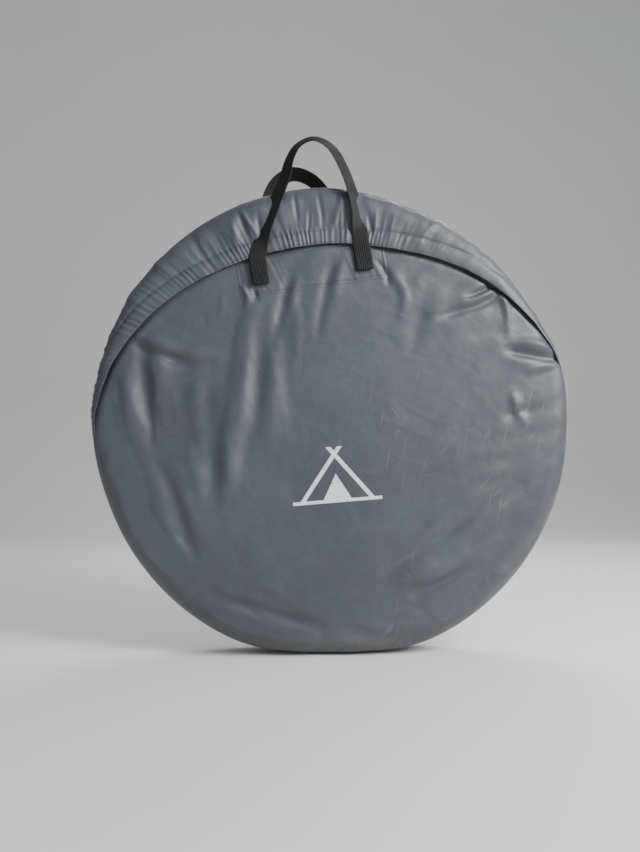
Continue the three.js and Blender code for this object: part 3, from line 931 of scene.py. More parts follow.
HOOD_CREASES = [   # angle from the top, distance from the hem, lean, half length, width, height
    (-0.290, 0.062, 0.10, 0.030, 0.0060, -0.0030),
    (-0.262, 0.058, -0.20, 0.026, 0.0050, 0.0026),
    (-0.225, 0.050, 0.35, 0.022, 0.0045, -0.0024),
    (-0.345, 0.050, 0.30, 0.024, 0.0070, 0.0030),
    (-0.030, 0.070, 0.05, 0.026, 0.0042, -0.0022),
    (0.085, 0.066, -0.10, 0.028, 0.0050, -0.0022),
    (0.180, 0.075, 0.20, 0.030, 0.0060, 0.0022),
    (0.330, 0.040, -0.50, 0.022, 0.0060, -0.0024),
    (-0.520, 0.060, 0.20, 0.034, 0.0080, -0.0026),
    (-0.700, 0.052, -0.15, 0.034, 0.0080, 0.0026),
    (-0.980, 0.045, 0.25, 0.030, 0.0070, -0.0024),
    (0.620, 0.050, 0.30, 0.034, 0.0080, 0.0020),
]


def hood_points(angle, length):
    """The hood's surface from the angle round the disc and the distance along its section.

    The gathers, creases and waves push it out along the section's own normal. Its two ends are drawn in a
    little towards the disc.
    """
    along, section_radius, section_depth = hood_section()
    size, step = np.abs(length), 0.0015
    ahead, behind = size + step, np.maximum(size - step, 0)
    radius = np.interp(size, along, section_radius)
    depth = np.interp(size, along, section_depth)
    slope_r = np.interp(ahead, along, section_radius) - np.interp(behind, along, section_radius)
    slope_y = np.interp(ahead, along, section_depth) - np.interp(behind, along, section_depth)
    norm = np.hypot(slope_r, slope_y) + 1e-9
    out_r, out_y = slope_y / norm, -slope_r / norm
    to_hem = hem_length(angle) - length
    front = smoothstep(-0.01, 0.03, length)
    lift = hood_gather(angle, to_hem) * front
    for place, from_hem, lean, half, width, height in HOOD_CREASES:
        sideways = (angle - place) * F.hood_radius - lean * (to_hem - from_hem)
        lift += height * bell(sideways, width) * bell(to_hem - from_hem, half) * front
    arc = angle * F.hood_radius
    lift += 0.0012 * field_noise(arc, length, 61, 0.11, 1.5, 0.3) * (0.4 + 0.6 * front)
    lift += 0.0006 * field_noise(arc, length, 62, 0.035, 1.8, 1.3)
    back = smoothstep(HOOD_BACK - 0.028, HOOD_BACK, -length)
    lift += (1 - front) * (0.0007 * smooth_noise(arc, 71, 0.012, 2) * back - 0.0010 * back)
    ends = 1 - smoothstep(math.radians(80), HOOD_HALF, np.abs(angle))
    lift = lift * (0.35 + 0.65 * ends)
    tuck = 0.0036 * smoothstep(math.radians(76), math.radians(92), np.abs(angle))
    scale = (floor_reach(angle, F.hood_radius) - tuck) / F.hood_radius
    sign = np.where(length >= 0, -1.0, 1.0)
    radius = (radius + lift * out_r) * scale
    depth = depth + lift * out_y
    return world(radius * np.sin(angle), sign * depth, radius * np.cos(angle))


def make_hood(material):
    rows, cols = 56, 870
    angle = np.linspace(-HOOD_HALF, HOOD_HALF, cols)[None, :]
    share = 1 - (1 - np.linspace(0, 1, rows)[:, None]) ** 1.4
    length = -HOOD_BACK + share * (hem_length(angle) + HOOD_BACK)
    angle, length = np.broadcast_arrays(angle, length)
    points = hood_points(angle, length)
    uv = np.stack([angle * F.hood_radius, length], axis=-1)
    obj = add_mesh("hood", points, grid_quads(rows, cols), material, uv)
    thicken(obj, settings("tent_bag").cloth_thickness)
    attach(obj, "bag")
    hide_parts("hood_panel")
    peel_back(obj)
    return obj


def peel_back(obj):
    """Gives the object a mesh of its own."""
    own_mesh(obj)


# ---------------------------------------------------------------- tubes, ribbons and stitches


def frames_along(line, facing):
    """Unit directions along a line, across it in its face and out of its face, which is turned to facing."""
    along = np.gradient(line, axis=0)
    along /= np.linalg.norm(along, axis=1, keepdims=True)
    out = facing - (facing * along).sum(axis=1, keepdims=True) * along
    out /= np.linalg.norm(out, axis=1, keepdims=True)
    return along, np.cross(along, out), out


def tube_points(line, facing, half_width, half_height, sides, power=1.0):
    """A closed superellipse section carried along a line."""
    _, across, out = frames_along(line, facing)
    t = np.linspace(0, TURN, sides, endpoint=False)
    a = np.sign(np.cos(t)) * np.abs(np.cos(t)) ** power
    b = np.sign(np.sin(t)) * np.abs(np.sin(t)) ** power
    half_width = np.broadcast_to(half_width, len(line))[:, None, None]
    half_height = np.broadcast_to(half_height, len(line))[:, None, None]
    return (line[:, None] + half_width * a[None, :, None] * across[:, None]
            + half_height * b[None, :, None] * out[:, None])


def capped_tube(points):
    """Faces of a tube's grid, with each end ring closed by one polygon."""
    rows, cols = points.shape[:2]
    faces = [list(f) for f in grid_quads(rows, cols, close_cols=True)]
    faces.append(list(range(cols)))
    faces.append(list(range((rows - 1) * cols, rows * cols))[::-1])
    return faces


def make_tube(name, line, facing, half_width, half_height, material, sides=10, power=1.0):
    points = tube_points(line, facing, half_width, half_height, sides, power)
    rows = len(line)
    length = np.concatenate([[0], np.cumsum(np.linalg.norm(np.diff(line, axis=0), axis=1))])
    uv = np.stack(np.broadcast_arrays(np.linspace(0, 0.03, sides)[None, :], length[:, None]), axis=-1)
    return add_mesh(name, points.reshape(rows * sides, 3), capped_tube(points), material, uv)


def stitches(line, facing, pitch=0.0034, size=0.0024, radius=0.00028):
    """Small raised thread loops every pitch along a line: points and faces of many short six-sided beads."""
    length = np.linalg.norm(np.diff(line, axis=0), axis=1).sum()
    count = max(2, int(length / pitch))
    spots = even(np.hstack([line, facing]), count)
    centre, out = spots[:, :3], spots[:, 3:]
    along = np.gradient(centre, axis=0)
    along /= np.linalg.norm(along, axis=1, keepdims=True)
    out -= (out * along).sum(axis=1, keepdims=True) * along
    out /= np.linalg.norm(out, axis=1, keepdims=True)
    across = np.cross(along, out)
    station = np.array([-0.5, -0.32, 0.0, 0.32, 0.5])
    swell = np.array([0.15, 0.8, 1.0, 0.8, 0.15])
    rise = np.array([-0.4, 0.2, 0.7, 0.2, -0.4])
    t = np.linspace(0, TURN, 6, endpoint=False)
    height = radius * (swell[None, :, None] * np.sin(t) + rise[None, :, None])
    shape = (centre[:, None, None] + along[:, None, None] * (station * size)[None, :, None, None]
             + across[:, None, None] * (radius * swell[None, :, None] * np.cos(t))[..., None]
             + out[:, None, None] * height[..., None])
    quads = grid_quads(5, 6, close_cols=True)
    caps = np.array([[0, 1, 2, 3], [0, 3, 4, 5], [27, 26, 25, 24], [29, 28, 27, 24]])
    one = np.vstack([quads, caps])
    faces = (one[None] + (np.arange(count) * 30)[:, None, None]).reshape(-1, 4)
    return shape.reshape(-1, 3), faces


def make_stitches(name, rows, material, body, **look):
    """One object of all the stitch rows given as (line, facing) pairs."""
    points, faces, start = [], [], 0
    for line, facing in rows:
        facing = np.broadcast_to(facing, line.shape)
        p, f = stitches(line, facing, **look)
        points.append(p)
        faces.append(f + start)
        start += len(p)
    obj = add_mesh(name, np.vstack(points), np.vstack(faces), material)
    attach(obj, body)
    return obj


# ---------------------------------------------------------------- operators: materials and stage


def material(name):
    return bpy.data.materials[name]


class TENT_OT_materials(bpy.types.Operator):
    """Makes the shared node groups and every material"""
    bl_idname = "tent.materials"
    bl_label = "Materials"

    def execute(self, context):
        weave_group()
        crumple_group()
        wear_group()
        bag, handles = settings("tent_bag"), settings("tent_handles")
        slate = tuple(bag.cloth_colour)
        cloth_material("printed slate cloth", slate, 0.44, ink=tent_print)
        cloth_material("slate cloth", slate, 0.44)
        cloth_material("hood slate cloth", tuple(c * 1.03 for c in slate), 0.46, 0.0050, dusty=0.6)
        webbing_material("black webbing", tuple(handles.webbing_colour))
        plain_material("black elastic", (0.006, 0.006, 0.007), 0.72, grain=900, depth=0.0002)
        plain_material("slate thread", tuple(c * 0.55 for c in slate), 0.7, grain=1500)
        plain_material("black thread", (0.018, 0.018, 0.02), 0.55, grain=1500)
        plain_material("glass fibre", (0.62, 0.60, 0.50), 0.32, grain=700)
        plain_material("zinc steel", (0.55, 0.56, 0.58), 0.28, metallic=1.0, grain=1200)
        plain_material("black plastic", (0.016, 0.016, 0.018), 0.38, grain=600)
        cloth_material("sleeve tape", (0.035, 0.038, 0.045), 0.62, 0.0006, dusty=0.3)
        cloth_material("flysheet cloth", (0.060, 0.105, 0.130), 0.50, 0.0050, dusty=0.3)
        cloth_material("inner tent cloth", (0.55, 0.54, 0.50), 0.65, 0.0040, dusty=0.5)
        cloth_material("groundsheet cloth", (0.040, 0.045, 0.055), 0.42, 0.0050, dusty=0.5)
        cloth_material("peg bag cloth", (0.055, 0.060, 0.070), 0.60, 0.0010, dusty=0.4)
        return {"FINISHED"}


def aim(obj, place, target, roll=0.0):
    """Puts a light or camera at a place, looking at a target."""
    look = (Vector(target) - Vector(place)).to_track_quat("-Z", "Y").to_matrix().to_4x4()
    obj.matrix_world = Matrix.Translation(place) @ look @ Matrix.Rotation(roll, 4, "Z")


def add_light(name, place, target, size, power, colour=(1, 1, 1)):
    light = bpy.data.lights.new(name, "AREA")
    light.shape = "RECTANGLE"
    light.size, light.size_y = size
    light.energy = power
    light.color = colour
    obj = bpy.data.objects.new(name, light)
    bpy.context.scene.collection.objects.link(obj)
    aim(obj, place, target)


class TENT_OT_stage(bpy.types.Operator):
    """Makes the camera, the pale floor that sweeps up behind, and the soft studio light"""
    bl_idname = "tent.stage"
    bl_label = "Stage"

    def execute(self, context):
        stage = settings("tent_stage")
        middle = Vector(F.centre.tolist())
        camera = bpy.data.cameras.new("camera")
        camera.lens, camera.sensor_width, camera.clip_end = 27.04, 36.0, 60.0
        obj = bpy.data.objects.new("camera", camera)
        context.scene.collection.objects.link(obj)
        aside, below = math.radians(4.0), math.radians(5.0)
        level = math.cos(below)
        away = Vector((-math.sin(aside) * level, -math.cos(aside) * level, -math.sin(below)))
        place = middle + away * stage.distance
        aim(obj, place, middle + Vector((-0.0245, 0.0, -0.010)))
        context.scene.camera = obj

        pale, tree, shader, where = new_material("pale floor")
        patches = noise(tree, where, 2.0, 4.0, 0.6)
        colour = tuple(stage.floor_colour)
        join(tree, mix_colour(tree, patches.ramp(0.2, 0.8), tuple(c * 0.97 for c in colour), colour),
             shader.inputs["Base Color"])
        shader.inputs["Roughness"].default_value = 0.9
        t = np.linspace(0, math.pi / 2, 24)
        run, bend, far = 2.2, 1.5, 9.0
        y = np.concatenate([[-far], run + bend * np.sin(t), [run + bend]])
        z = np.concatenate([[0.0], bend * (1 - np.cos(t)), [far]])
        x = np.array([-far, far])
        points = np.stack(np.broadcast_arrays(x[None, :], y[:, None], z[:, None]), axis=-1)
        floor = add_mesh("floor_sweep", points, grid_quads(len(y), 2)[:, ::-1], pale)

        add_light("key", (1.35, -1.10, 1.40), middle, (0.9, 1.2), stage.key, (1.0, 0.99, 0.97))
        add_light("fill", (-1.9, -2.3, 1.5), middle, (1.6, 1.6), stage.key * 0.06, (0.88, 0.94, 1.0))
        add_light("rim", (0.5, 1.3, 2.1), middle, (1.6, 0.8), stage.key * 0.5, (0.95, 0.98, 1.0))
        # a plain sky, dimmer to the viewer's left
        sky = bpy.data.worlds.new("studio")
        context.scene.world = sky
        sky.use_nodes = True
        back = sky.node_tree.nodes["Background"]
        back.inputs["Color"].default_value = (0.86, 0.90, 0.95, 1.0)
        way = sky.node_tree.nodes.new("ShaderNodeTexCoord").outputs["Generated"]
        east = split(sky.node_tree, way)[0]
        join(sky.node_tree, east.ramp(-0.9, 0.7, 0.22, 0.74), back.inputs["Strength"])
        return {"FINISHED"}


# ---------------------------------------------------------------- operators: the bag


class TENT_OT_panels(bpy.types.Operator):
    """Makes the front and back panels, the gusset between them and the seams' stitching"""
    bl_idname = "tent.panels"
    bl_label = "Bag panels"

    def execute(self, context):
        make_panel(-1, "front_panel", "bag_front_panel", material("printed slate cloth"))
        make_panel(1, "back_panel", "bag_back_panel", material("slate cloth"))
        self.gusset()
        self.seams()
        return {"FINISHED"}

    def seams(self):
        """Two rows of stitches beside the lower rim's seams, from one end of the mouth to the other."""
        angle = np.linspace(math.radians(97), math.radians(263), 900)
        near = np.arctan2(np.sin(angle), np.cos(angle))
        outward = world(np.sin(angle), 0.0, np.cos(angle)) - F.centre
        rows = []
        for side in (-1, 1):
            facing = outward * 0.8 + np.array([0.0, side * 0.6, 0.0])
            line = panel_points(side, np.full_like(near, 0.973), near) + facing * 0.0003
            rows.append((rest_on_floor(line), facing))
        make_stitches("seam_stitches", rows, material("slate thread"), "bag", pitch=0.0040, size=0.0029)

    def gusset(self):
        """A strip round the lower rim between the two seams, bulging a little, with pulls across it."""
        rows, cols = 26, 700
        angle = np.linspace(math.radians(84), math.radians(276), cols)[None, :]
        share = np.linspace(-1, 1, rows)[:, None]
        near = np.arctan2(np.sin(angle), np.cos(angle))
        half = SEAM + (MOUTH_EDGE - SEAM) * mouth_share(near)
        reach = floor_reach(angle, F.panel_radius)
        arc = angle * F.panel_radius
        pull = smooth_noise(arc, 91, 0.022, 2) * 0.0011 + smooth_noise(arc, 93, 0.009, 1) * 0.0004
        bulge = 0.0016 * (1 - share ** 2) + pull * (1 - share ** 2) - 0.0008 * np.abs(share) ** 8
        radius = reach + bulge
        points = rest_on_floor(world(radius * np.sin(angle), share * half, radius * np.cos(angle)))
        uv = np.stack(np.broadcast_arrays(arc, share * half), axis=-1)
        obj = add_mesh("gusset", points, grid_quads(rows, cols)[:, ::-1], material("slate cloth"), uv)
        thicken(obj, settings("tent_bag").cloth_thickness)
        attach(obj, "bag")
        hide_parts("bag_gusset")


class TENT_OT_hood(bpy.types.Operator):
    """Makes the gathered hood, its elastic and its rows of stitching"""
    bl_idname = "tent.hood"
    bl_label = "Hood"

    def execute(self, context):
        hood = settings("tent_hood")
        angle = np.linspace(-ELASTIC_HALF, ELASTIC_HALF, 900)
        from_hem, below = 0.0022, 0.0017
        length = hem_length(angle) - from_hem
        facing = self.facing(angle, length)
        line = hood_points(angle, length) - facing * below
        band = make_tube("hood_elastic_band", line, facing, hood.elastic_width / 2, 0.0008,
                         material("black elastic"), sides=8)
        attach(band, "bag")
        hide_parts("hood_elastic")
        peel_back(band)
        rows = []
        for offset, start, stop in ((hood.casing, -1.0, 0.86), (0.0035, -1.0, 1.0)):
            reach = np.linspace(start * HOOD_HALF * 0.97, stop * HOOD_HALF * 0.97, 700)
            length = hem_length(reach) - offset
            rows.append((hood_points(reach, length), self.facing(reach, length)))
        for back in (HOOD_BACK - 0.004, HOOD_BACK - 0.009):
            reach = np.linspace(-HOOD_HALF * 0.99, HOOD_HALF * 0.99, 500)
            length = np.full_like(reach, -back)
            rows.append((hood_points(reach, length), self.facing(reach, length)))
        thread = make_stitches("hood_stitches", rows, material("slate thread"), "bag")
        peel_back(thread)
        make_hood(material("hood slate cloth"))
        return {"FINISHED"}

    def facing(self, angle, length):
        """The hood's outward direction, from two small steps over its surface."""
        step = 0.002
        turn = step / F.hood_radius
        around = hood_points(angle + turn, length) - hood_points(angle - turn, length)
        over = hood_points(angle, length + step) - hood_points(angle, length - step)
        out = np.cross(over, around)
        return out / np.linalg.norm(out, axis=-1, keepdims=True)


# ---------------------------------------------------------------- operators: handles


HANDLE_LINES = {   # centre lines across and up the bag, from one tab to the other
    "front": [(-0.0900, 0.2875), (-0.0850, 0.304), (-0.069, 0.338), (-0.044, 0.386), (-0.022, 0.424),
              (-0.009, 0.455), (0.010, 0.479), (0.040, 0.487), (0.067, 0.467), (0.082, 0.428),
              (0.090, 0.386), (0.093, 0.345), (0.091, 0.304), (0.0900, 0.2875)],
    "rear": [(-0.0900, 0.2875), (-0.0895, 0.304), (-0.084, 0.340), (-0.072, 0.385), (-0.056, 0.428),
             (-0.034, 0.462), (0.000, 0.478), (0.034, 0.462), (0.056, 0.428), (0.072, 0.385),
             (0.084, 0.340), (0.0895, 0.304), (0.0900, 0.2875)],
}
LEAN = math.radians(1.0)


def webbing_section(width, thickness, ribs):
    """A flat band's section: ribbed faces and round edges, as places across and out."""
    steps = ribs * 6
    a = np.linspace(-0.5, 0.5, steps + 1)
    ridge = 0.22 * thickness * (np.abs(np.sin(a * ribs * math.pi)) - 0.6)
    face = (thickness / 2 + ridge) * np.sqrt(1 - (2 * a * 0.985) ** 8)
    across = np.concatenate([a, a[::-1]]) * width
    out = np.concatenate([face, -face[::-1]])
    return across, out


def make_webbing(name, line, facing, twist, material_, width, thickness, ribs):
    """The webbing's section carried along a line and turned about it by twist; UV is across and along."""
    _, across, out = frames_along(line, facing)
    c, s = np.cos(twist)[:, None], np.sin(twist)[:, None]
    across, out = across * c + out * s, out * c - across * s
    a, b = webbing_section(width, thickness, ribs)
    points = line[:, None] + a[None, :, None] * across[:, None] + b[None, :, None] * out[:, None]
    length = np.concatenate([[0], np.cumsum(np.linalg.norm(np.diff(line, axis=0), axis=1))])
    uv = np.stack(np.broadcast_arrays(a[None, :], length[:, None]), axis=-1)
    rows, cols = points.shape[:2]
    faces = [f[::-1] for f in capped_tube(points)]
    return add_mesh(name, points.reshape(rows * cols, 3), faces, material_, uv)


class TENT_OT_handles(bpy.types.Operator):
    """Makes both webbing handles, their folded tabs, their patches and the stitching on them"""
    bl_idname = "tent.handles"
    bl_label = "Handles"

    def execute(self, context):
        for label, side in (("front", -1), ("rear", 1)):
            self.loop(label, side)
            self.patch(label, side)
            self.tabs(label, side)
        return {"FINISHED"}

    def loop(self, label, side):
        """Webbing from tab to tab, leaning in a little, twisted edge on near its top."""
        look = settings("tent_handles")
        flat = even(through(HANDLE_LINES[label], 14), 190)
        u, v = flat[:, 0], flat[:, 1]
        foot = np.linspace(0.0, 1.0, 12)[:, None]
        low = F.hinge_v - 0.030
        left = np.hstack([np.full_like(foot, u[0]), low + foot * (v[0] - 0.001 - low)])
        right = np.hstack([np.full_like(foot, u[-1]), low + foot[::-1] * (v[-1] - 0.001 - low)])
        flat = even(np.vstack([left, flat, right]), 230)
        u, v = flat[:, 0], flat[:, 1]
        depth = F.hinge_y - np.maximum(v - F.hinge_v, 0) * math.tan(LEAN)
        line = world(u, side * depth, v)
        share = np.linspace(0, 1, len(line))
        crown = bell(share - 0.5, 0.16)
        rise = smoothstep(0.07, 0.17, share) * (1 - smoothstep(0.83, 0.93, share))
        twist = -side * (math.radians(37) * rise + math.radians(14) * crown)
        twist = twist + math.radians(4) * np.sin(share * 19) * rise
        facing = np.broadcast_to(np.array([0.0, float(side), 0.0]), line.shape)
        obj = make_webbing(f"{label}_handle_webbing", line, facing, twist, material("black webbing"),
                           look.webbing_width, look.webbing_thickness, look.ribs)
        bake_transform(obj)
        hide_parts(f"{label}_handle")

    def tabs(self, label, side):
        """Each tab is the webbing's end folded under itself, stitched through in a crossed box."""
        look = settings("tent_handles")
        thread_rows = []
        for end, sign in (("left", -1), ("right", 1)):
            node_name = f"{label}_handle_tab_{end}"
            u = sign * abs(HANDLE_LINES[label][0][0])
            low, high, steps = 0.2440, 0.2865, 30
            v = np.linspace(low, high, steps)
            swell = 1 + 0.05 * np.sin(np.linspace(0, 3, steps))
            middle = F.hinge_y - 0.0004
            line = world(np.full_like(v, u), side * middle, v)
            facing = np.broadcast_to(np.array([0.0, float(side), 0.0]), line.shape)
            width, thickness = look.webbing_width + 0.0012, look.webbing_thickness * 1.9 * swell.mean()
            obj = make_webbing(f"{label}_tab_{end}", line, facing, np.zeros(steps),
                               material("black webbing"), width, thickness, look.ribs)
            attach(obj, "bag")
            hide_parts(node_name)
            inset = 0.003
            half, foot, top = look.webbing_width / 2 - inset, low + inset, high - inset
            corners = [(-half, foot), (half, foot), (half, top), (-half, top),
                       (-half, foot), (half, top), (-half, top), (half, foot)]
            face = middle + look.webbing_thickness * 0.95
            for (a0, b0), (a1, b1) in zip(corners[:-1], corners[1:]):
                t = np.linspace(0, 1, 12)
                row = world(u + a0 + (a1 - a0) * t, side * (face + 0.0003), b0 + (b1 - b0) * t)
                thread_rows.append((row, np.array([0.0, float(side), 0.0])))
        make_stitches(f"{label}_tab_stitches", thread_rows, material("black thread"), "bag",
                      pitch=0.0030, size=0.0023, radius=0.00035)

    def patch(self, label, side):
        """A rectangle of cloth laid over the panel, following it, with its edge turned under and stitched."""
        half_width, low, high = 0.130, 0.2235, 0.300
        cols, rows = 190, 60
        u = np.linspace(-half_width, half_width, cols)[None, :]
        v = np.linspace(low, high, rows)[:, None]
        u, v = np.broadcast_arrays(u, v)
        y = np.abs(panel_height(side, u, v))
        edge = np.minimum(np.minimum(half_width - np.abs(u), v - low), high - v)
        raised = 0.0002 + 0.0011 * smoothstep(0.0, 0.0035, edge) - 0.0005 * bell(edge - 0.007, 0.0016)
        pulls = 0.0011 * np.abs(smooth_noise(u + 0.3 * v, 51 + side, 0.011, 2)) * smoothstep(0.0, 0.012, edge)
        pulls *= bell(np.minimum(np.abs(u - 0.09), np.abs(u + 0.09)), 0.032) + 0.25
        points = world(u, side * (y + raised + pulls), v)
        uv = np.stack([u, v], axis=-1)
        quads = grid_quads(rows, cols) if side < 0 else grid_quads(rows, cols)[:, ::-1]
        obj = add_mesh(f"{label}_patch", points, quads[:, ::-1], material("slate cloth"), uv)
        thicken(obj, settings("tent_bag").cloth_thickness)
        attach(obj, "bag")
        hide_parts(f"{label}_handle_patch")
        inset = 0.007
        a, b, c = half_width - inset, low + inset, high - inset
        rows_of_thread = []
        for (u0, v0), (u1, v1) in (((-a, c), (-a, b)), ((-a, b), (a, b)), ((a, b), (a, c))):
            t = np.linspace(0, 1, 160)
            ru, rv = u0 + (u1 - u0) * t, v0 + (v1 - v0) * t
            ry = np.abs(panel_height(side, ru, rv)) + 0.0011
            rows_of_thread.append((world(ru, side * ry, rv), np.array([0.0, float(side), 0.0])))
        make_stitches(f"{label}_patch_stitches", rows_of_thread, material("slate thread"), "bag")


# ---------------------------------------------------------------- operators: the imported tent


HOOPS = {"a": (-0.0172, math.radians(50)), "b": (0.0172, math.radians(-70))}   # through the bag, first butt
COIL = SimpleNamespace(radius=0.374, radial=0.009, across=0.0105, turns=3)
PACK = SimpleNamespace(face=0.037, radius=0.389, core=0.354, split=0.0099, strap=0.0382, reach=0.3903)


def coil_line(offset, angle):
    """The hoops' three turns wind round a ring: the winding turns a third as fast as the angle."""
    wind = angle / COIL.turns
    radius = COIL.radius + COIL.radial * np.cos(wind)
    return world(radius * np.sin(angle), offset + COIL.across * np.sin(wind), radius * np.cos(angle))


class TENT_OT_pack(bpy.types.Operator):
    """Makes the coiled hoops, the folded cloth between them, the straps, the peg bag and the pegs"""
    bl_idname = "tent.pack"
    bl_label = "Packed tent"

    def execute(self, context):
        for label, (offset, start) in HOOPS.items():
            for turn in range(COIL.turns):
                self.rod(label, offset, start, turn)
        for side, name in ((-1, "flysheet"), (1, "groundsheet")):
            self.outer_fold(side, name, material(f"{name} cloth"))
        self.inner_fold()
        self.strap("strap_lower", -1, 0.0, "tent_pack")
        self.strap("strap_upper", 1, 0.048, "strap_upper")
        self.pegs()
        for name in ("buckle_body", "buckle_clip"):
            self.refinish(frame["nodes"][name], material("black plastic"))
        return {"FINISHED"}

    def refinish(self, obj, finish):
        """A moulded part keeps its own shape, with its edges softened."""
        for place in obj.material_slots:
            place.link = "OBJECT"
            place.material = finish
        bevel = obj.modifiers.new("soft edges", "BEVEL")
        bevel.width, bevel.segments, bevel.limit_method = 0.0006, 2, "ANGLE"

    def placed(self, obj, node_name, slot_name, body="tent_pack"):
        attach(obj, body)
        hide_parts(node_name)
        return obj

    def rod(self, label, offset, start, turn):
        """One rod of a hoop, the ferrule at its end and the cloth sleeve round its middle."""
        butt, first = 0.0002 / COIL.radius, start + turn * TURN
        angle = np.linspace(first + butt, first + TURN - butt, 260)
        line = coil_line(offset, angle)
        facing = np.broadcast_to(np.array([0.0, -1.0, 0.0]), line.shape)
        rod_radius = 0.0045
        rod = make_tube(f"hoop_{label}_{turn + 1}", line, facing, rod_radius, rod_radius,
                        material("glass fibre"), 14)
        self.placed(rod, f"hoop_{label}_rod_{turn + 1}", "glass_fibre")

        half, steps = 0.030 / COIL.radius, 40
        angle = np.linspace(first + TURN - half, first + TURN + half, steps)
        line = coil_line(offset, angle)
        share = np.linspace(-1, 1, steps)
        crimp = 0.0004 * bell(np.abs(share) - 0.8, 0.05)
        radius = 0.0065 - 0.0009 * smoothstep(0.93, 1.0, np.abs(share)) - crimp
        ferrule = make_tube(f"ferrule_{label}_{turn + 1}", line, facing[:steps], radius, radius,
                            material("zinc steel"), 18)
        self.placed(ferrule, f"hoop_{label}_ferrule_{turn + 1}", "steel")

        steps, sides = 240, 16
        angle = np.linspace(first + TURN * 10 / 28, first + TURN * 17 / 28, steps)
        line = coil_line(offset, angle)
        arc, share = angle * COIL.radius, np.linspace(0, 1, steps)
        ends = bell(share, 0.012) + bell(share - 1, 0.012)
        radius = 0.0058 + 0.0005 * smooth_noise(arc, 3 + turn, 0.012, 2) + 0.0004 * ends
        points = tube_points(line, facing[:steps], radius, radius + 0.0001, sides)
        uv = np.stack(np.broadcast_arrays(np.linspace(0, 0.036, sides)[None, :], arc[:, None]), axis=-1)
        sleeve = add_mesh(f"sleeve_{label}_{turn + 1}", points, grid_quads(steps, sides, close_cols=True),
                          material("sleeve tape"), uv)
        thicken(sleeve, 0.0004)
        self.placed(sleeve, f"hoop_{label}_pole_sleeve_{turn + 1}", "sleeve_cloth")

    def flaps(self, x, z, seed):
        """Edges of cloth folded over each other: steps across wavy lines of random direction, from 0 down."""
        rng = np.random.default_rng(seed)
        total = np.zeros_like(x)
        for _ in range(6):
            way, place = rng.uniform(0, TURN), rng.uniform(-0.24, 0.24)
            across = x * math.cos(way) + z * math.sin(way) - place
            along = z * math.cos(way) - x * math.sin(way)
            wavy = across + 0.010 * np.sin(along * 14 + rng.uniform(0, TURN))
            wavy = wavy + 0.30 * along ** 2 * rng.uniform(-1, 1)
            total -= 0.0011 * smoothstep(-0.0022, 0.0022, wavy) + 0.0010 * bell(wavy - 0.004, 0.006)
        return total

    def outer_fold(self, side, name, finish):
        """Half of the folded tent: a pad with a lip over the hoops, its face flat folds and creases."""
        face, core, split_y = PACK.face, PACK.core, PACK.split + 0.0002
        outline = np.array([
            (0.0005, face), (0.372, face), (0.381, face - 0.0005), (0.3860, face - 0.0024),
            (0.3885, face - 0.0050), (0.3875, face - 0.0062), (0.3850, face - 0.0052),
            (0.3820, face - 0.0036), (0.3750, face - 0.0029), (core + 0.002, face - 0.0027),
            (core, face - 0.005), (core, split_y + 0.003), (core - 0.004, split_y), (0.0005, split_y)])
        share = np.concatenate([
            np.linspace(0, 1, 76)[:-1], 1 + np.linspace(0, 11, 56)[:-1], 12 + np.linspace(0, 1, 12)])
        r = np.interp(share, np.arange(len(outline)), outline[:, 0])[:, None]
        y = np.interp(share, np.arange(len(outline)), outline[:, 1])[:, None]
        around = 420
        angle = np.linspace(0, TURN, around, endpoint=False)[None, :]
        u, v = r * np.sin(angle), r * np.cos(angle)
        front = (share <= 1.0)[:, None] * (1 - smoothstep(0.366, 0.376, r))
        drop = self.flaps(u, v, 200 + side) - 0.0018 * np.abs(field_noise(u, v, 210 + side, 0.07, 2.2, 0.8))
        drop -= 0.0008 * np.abs(field_noise(u, v, 214 + side, 0.022, 2.0, -0.5))
        lip = (share > 1.0)[:, None] * (share < 8.0)[:, None]
        r = r * (1 - lip * 0.0022 * (0.5 + 0.5 * smooth_noise(angle * PACK.radius, 221, 0.016, 2)))
        y = y + drop * front
        points = world(r * np.sin(angle), side * y, r * np.cos(angle))
        faces = grid_quads(len(share), around, close_cols=True)
        if side < 0:
            faces = faces[:, ::-1]
        uv = np.stack(np.broadcast_arrays(angle * PACK.radius, r), axis=-1)
        last = (len(share) - 1) * around
        caps = [list(range(around))[::side], list(range(last, last + around))[::-side]]
        obj = add_mesh(f"{name}_pad", points, [*faces.tolist(), *caps], finish, uv)
        self.placed(obj, f"{name}_fold", name)

    def inner_fold(self):
        """The inner tent folded flat: a pad with three layers showing at its edge."""
        half, core = PACK.split, PACK.core
        steps, around = 30, 360
        t = np.linspace(0, 1, steps)
        y = np.concatenate([[-half], -half + 2 * half * t, [half]])[:, None]
        layers = 0.0018 * np.abs(np.sin(t * 3 * math.pi)) + 0.0030 * np.abs(2 * t - 1) ** 6
        r = np.concatenate([[0.0005], core - 0.0024 - layers + 0.0018, [0.0005]])[:, None]
        angle = np.linspace(0, TURN, around, endpoint=False)[None, :]
        r = r - (r > 0.1) * 0.0016 * (0.5 + 0.5 * smooth_noise(angle * core, 231, 0.020, 2))
        points = world(r * np.sin(angle), y + 0 * angle, r * np.cos(angle))
        uv = np.stack(np.broadcast_arrays(angle * core, y), axis=-1)
        faces = grid_quads(steps + 2, around, close_cols=True)[:, ::-1]
        last = (steps + 1) * around
        caps = [list(range(around))[::-1], list(range(last, last + around))]
        obj = add_mesh("inner_tent_pad", points, [*faces.tolist(), *caps], material("inner tent cloth"), uv)
        self.placed(obj, "inner_tent_fold", "inner_tent")

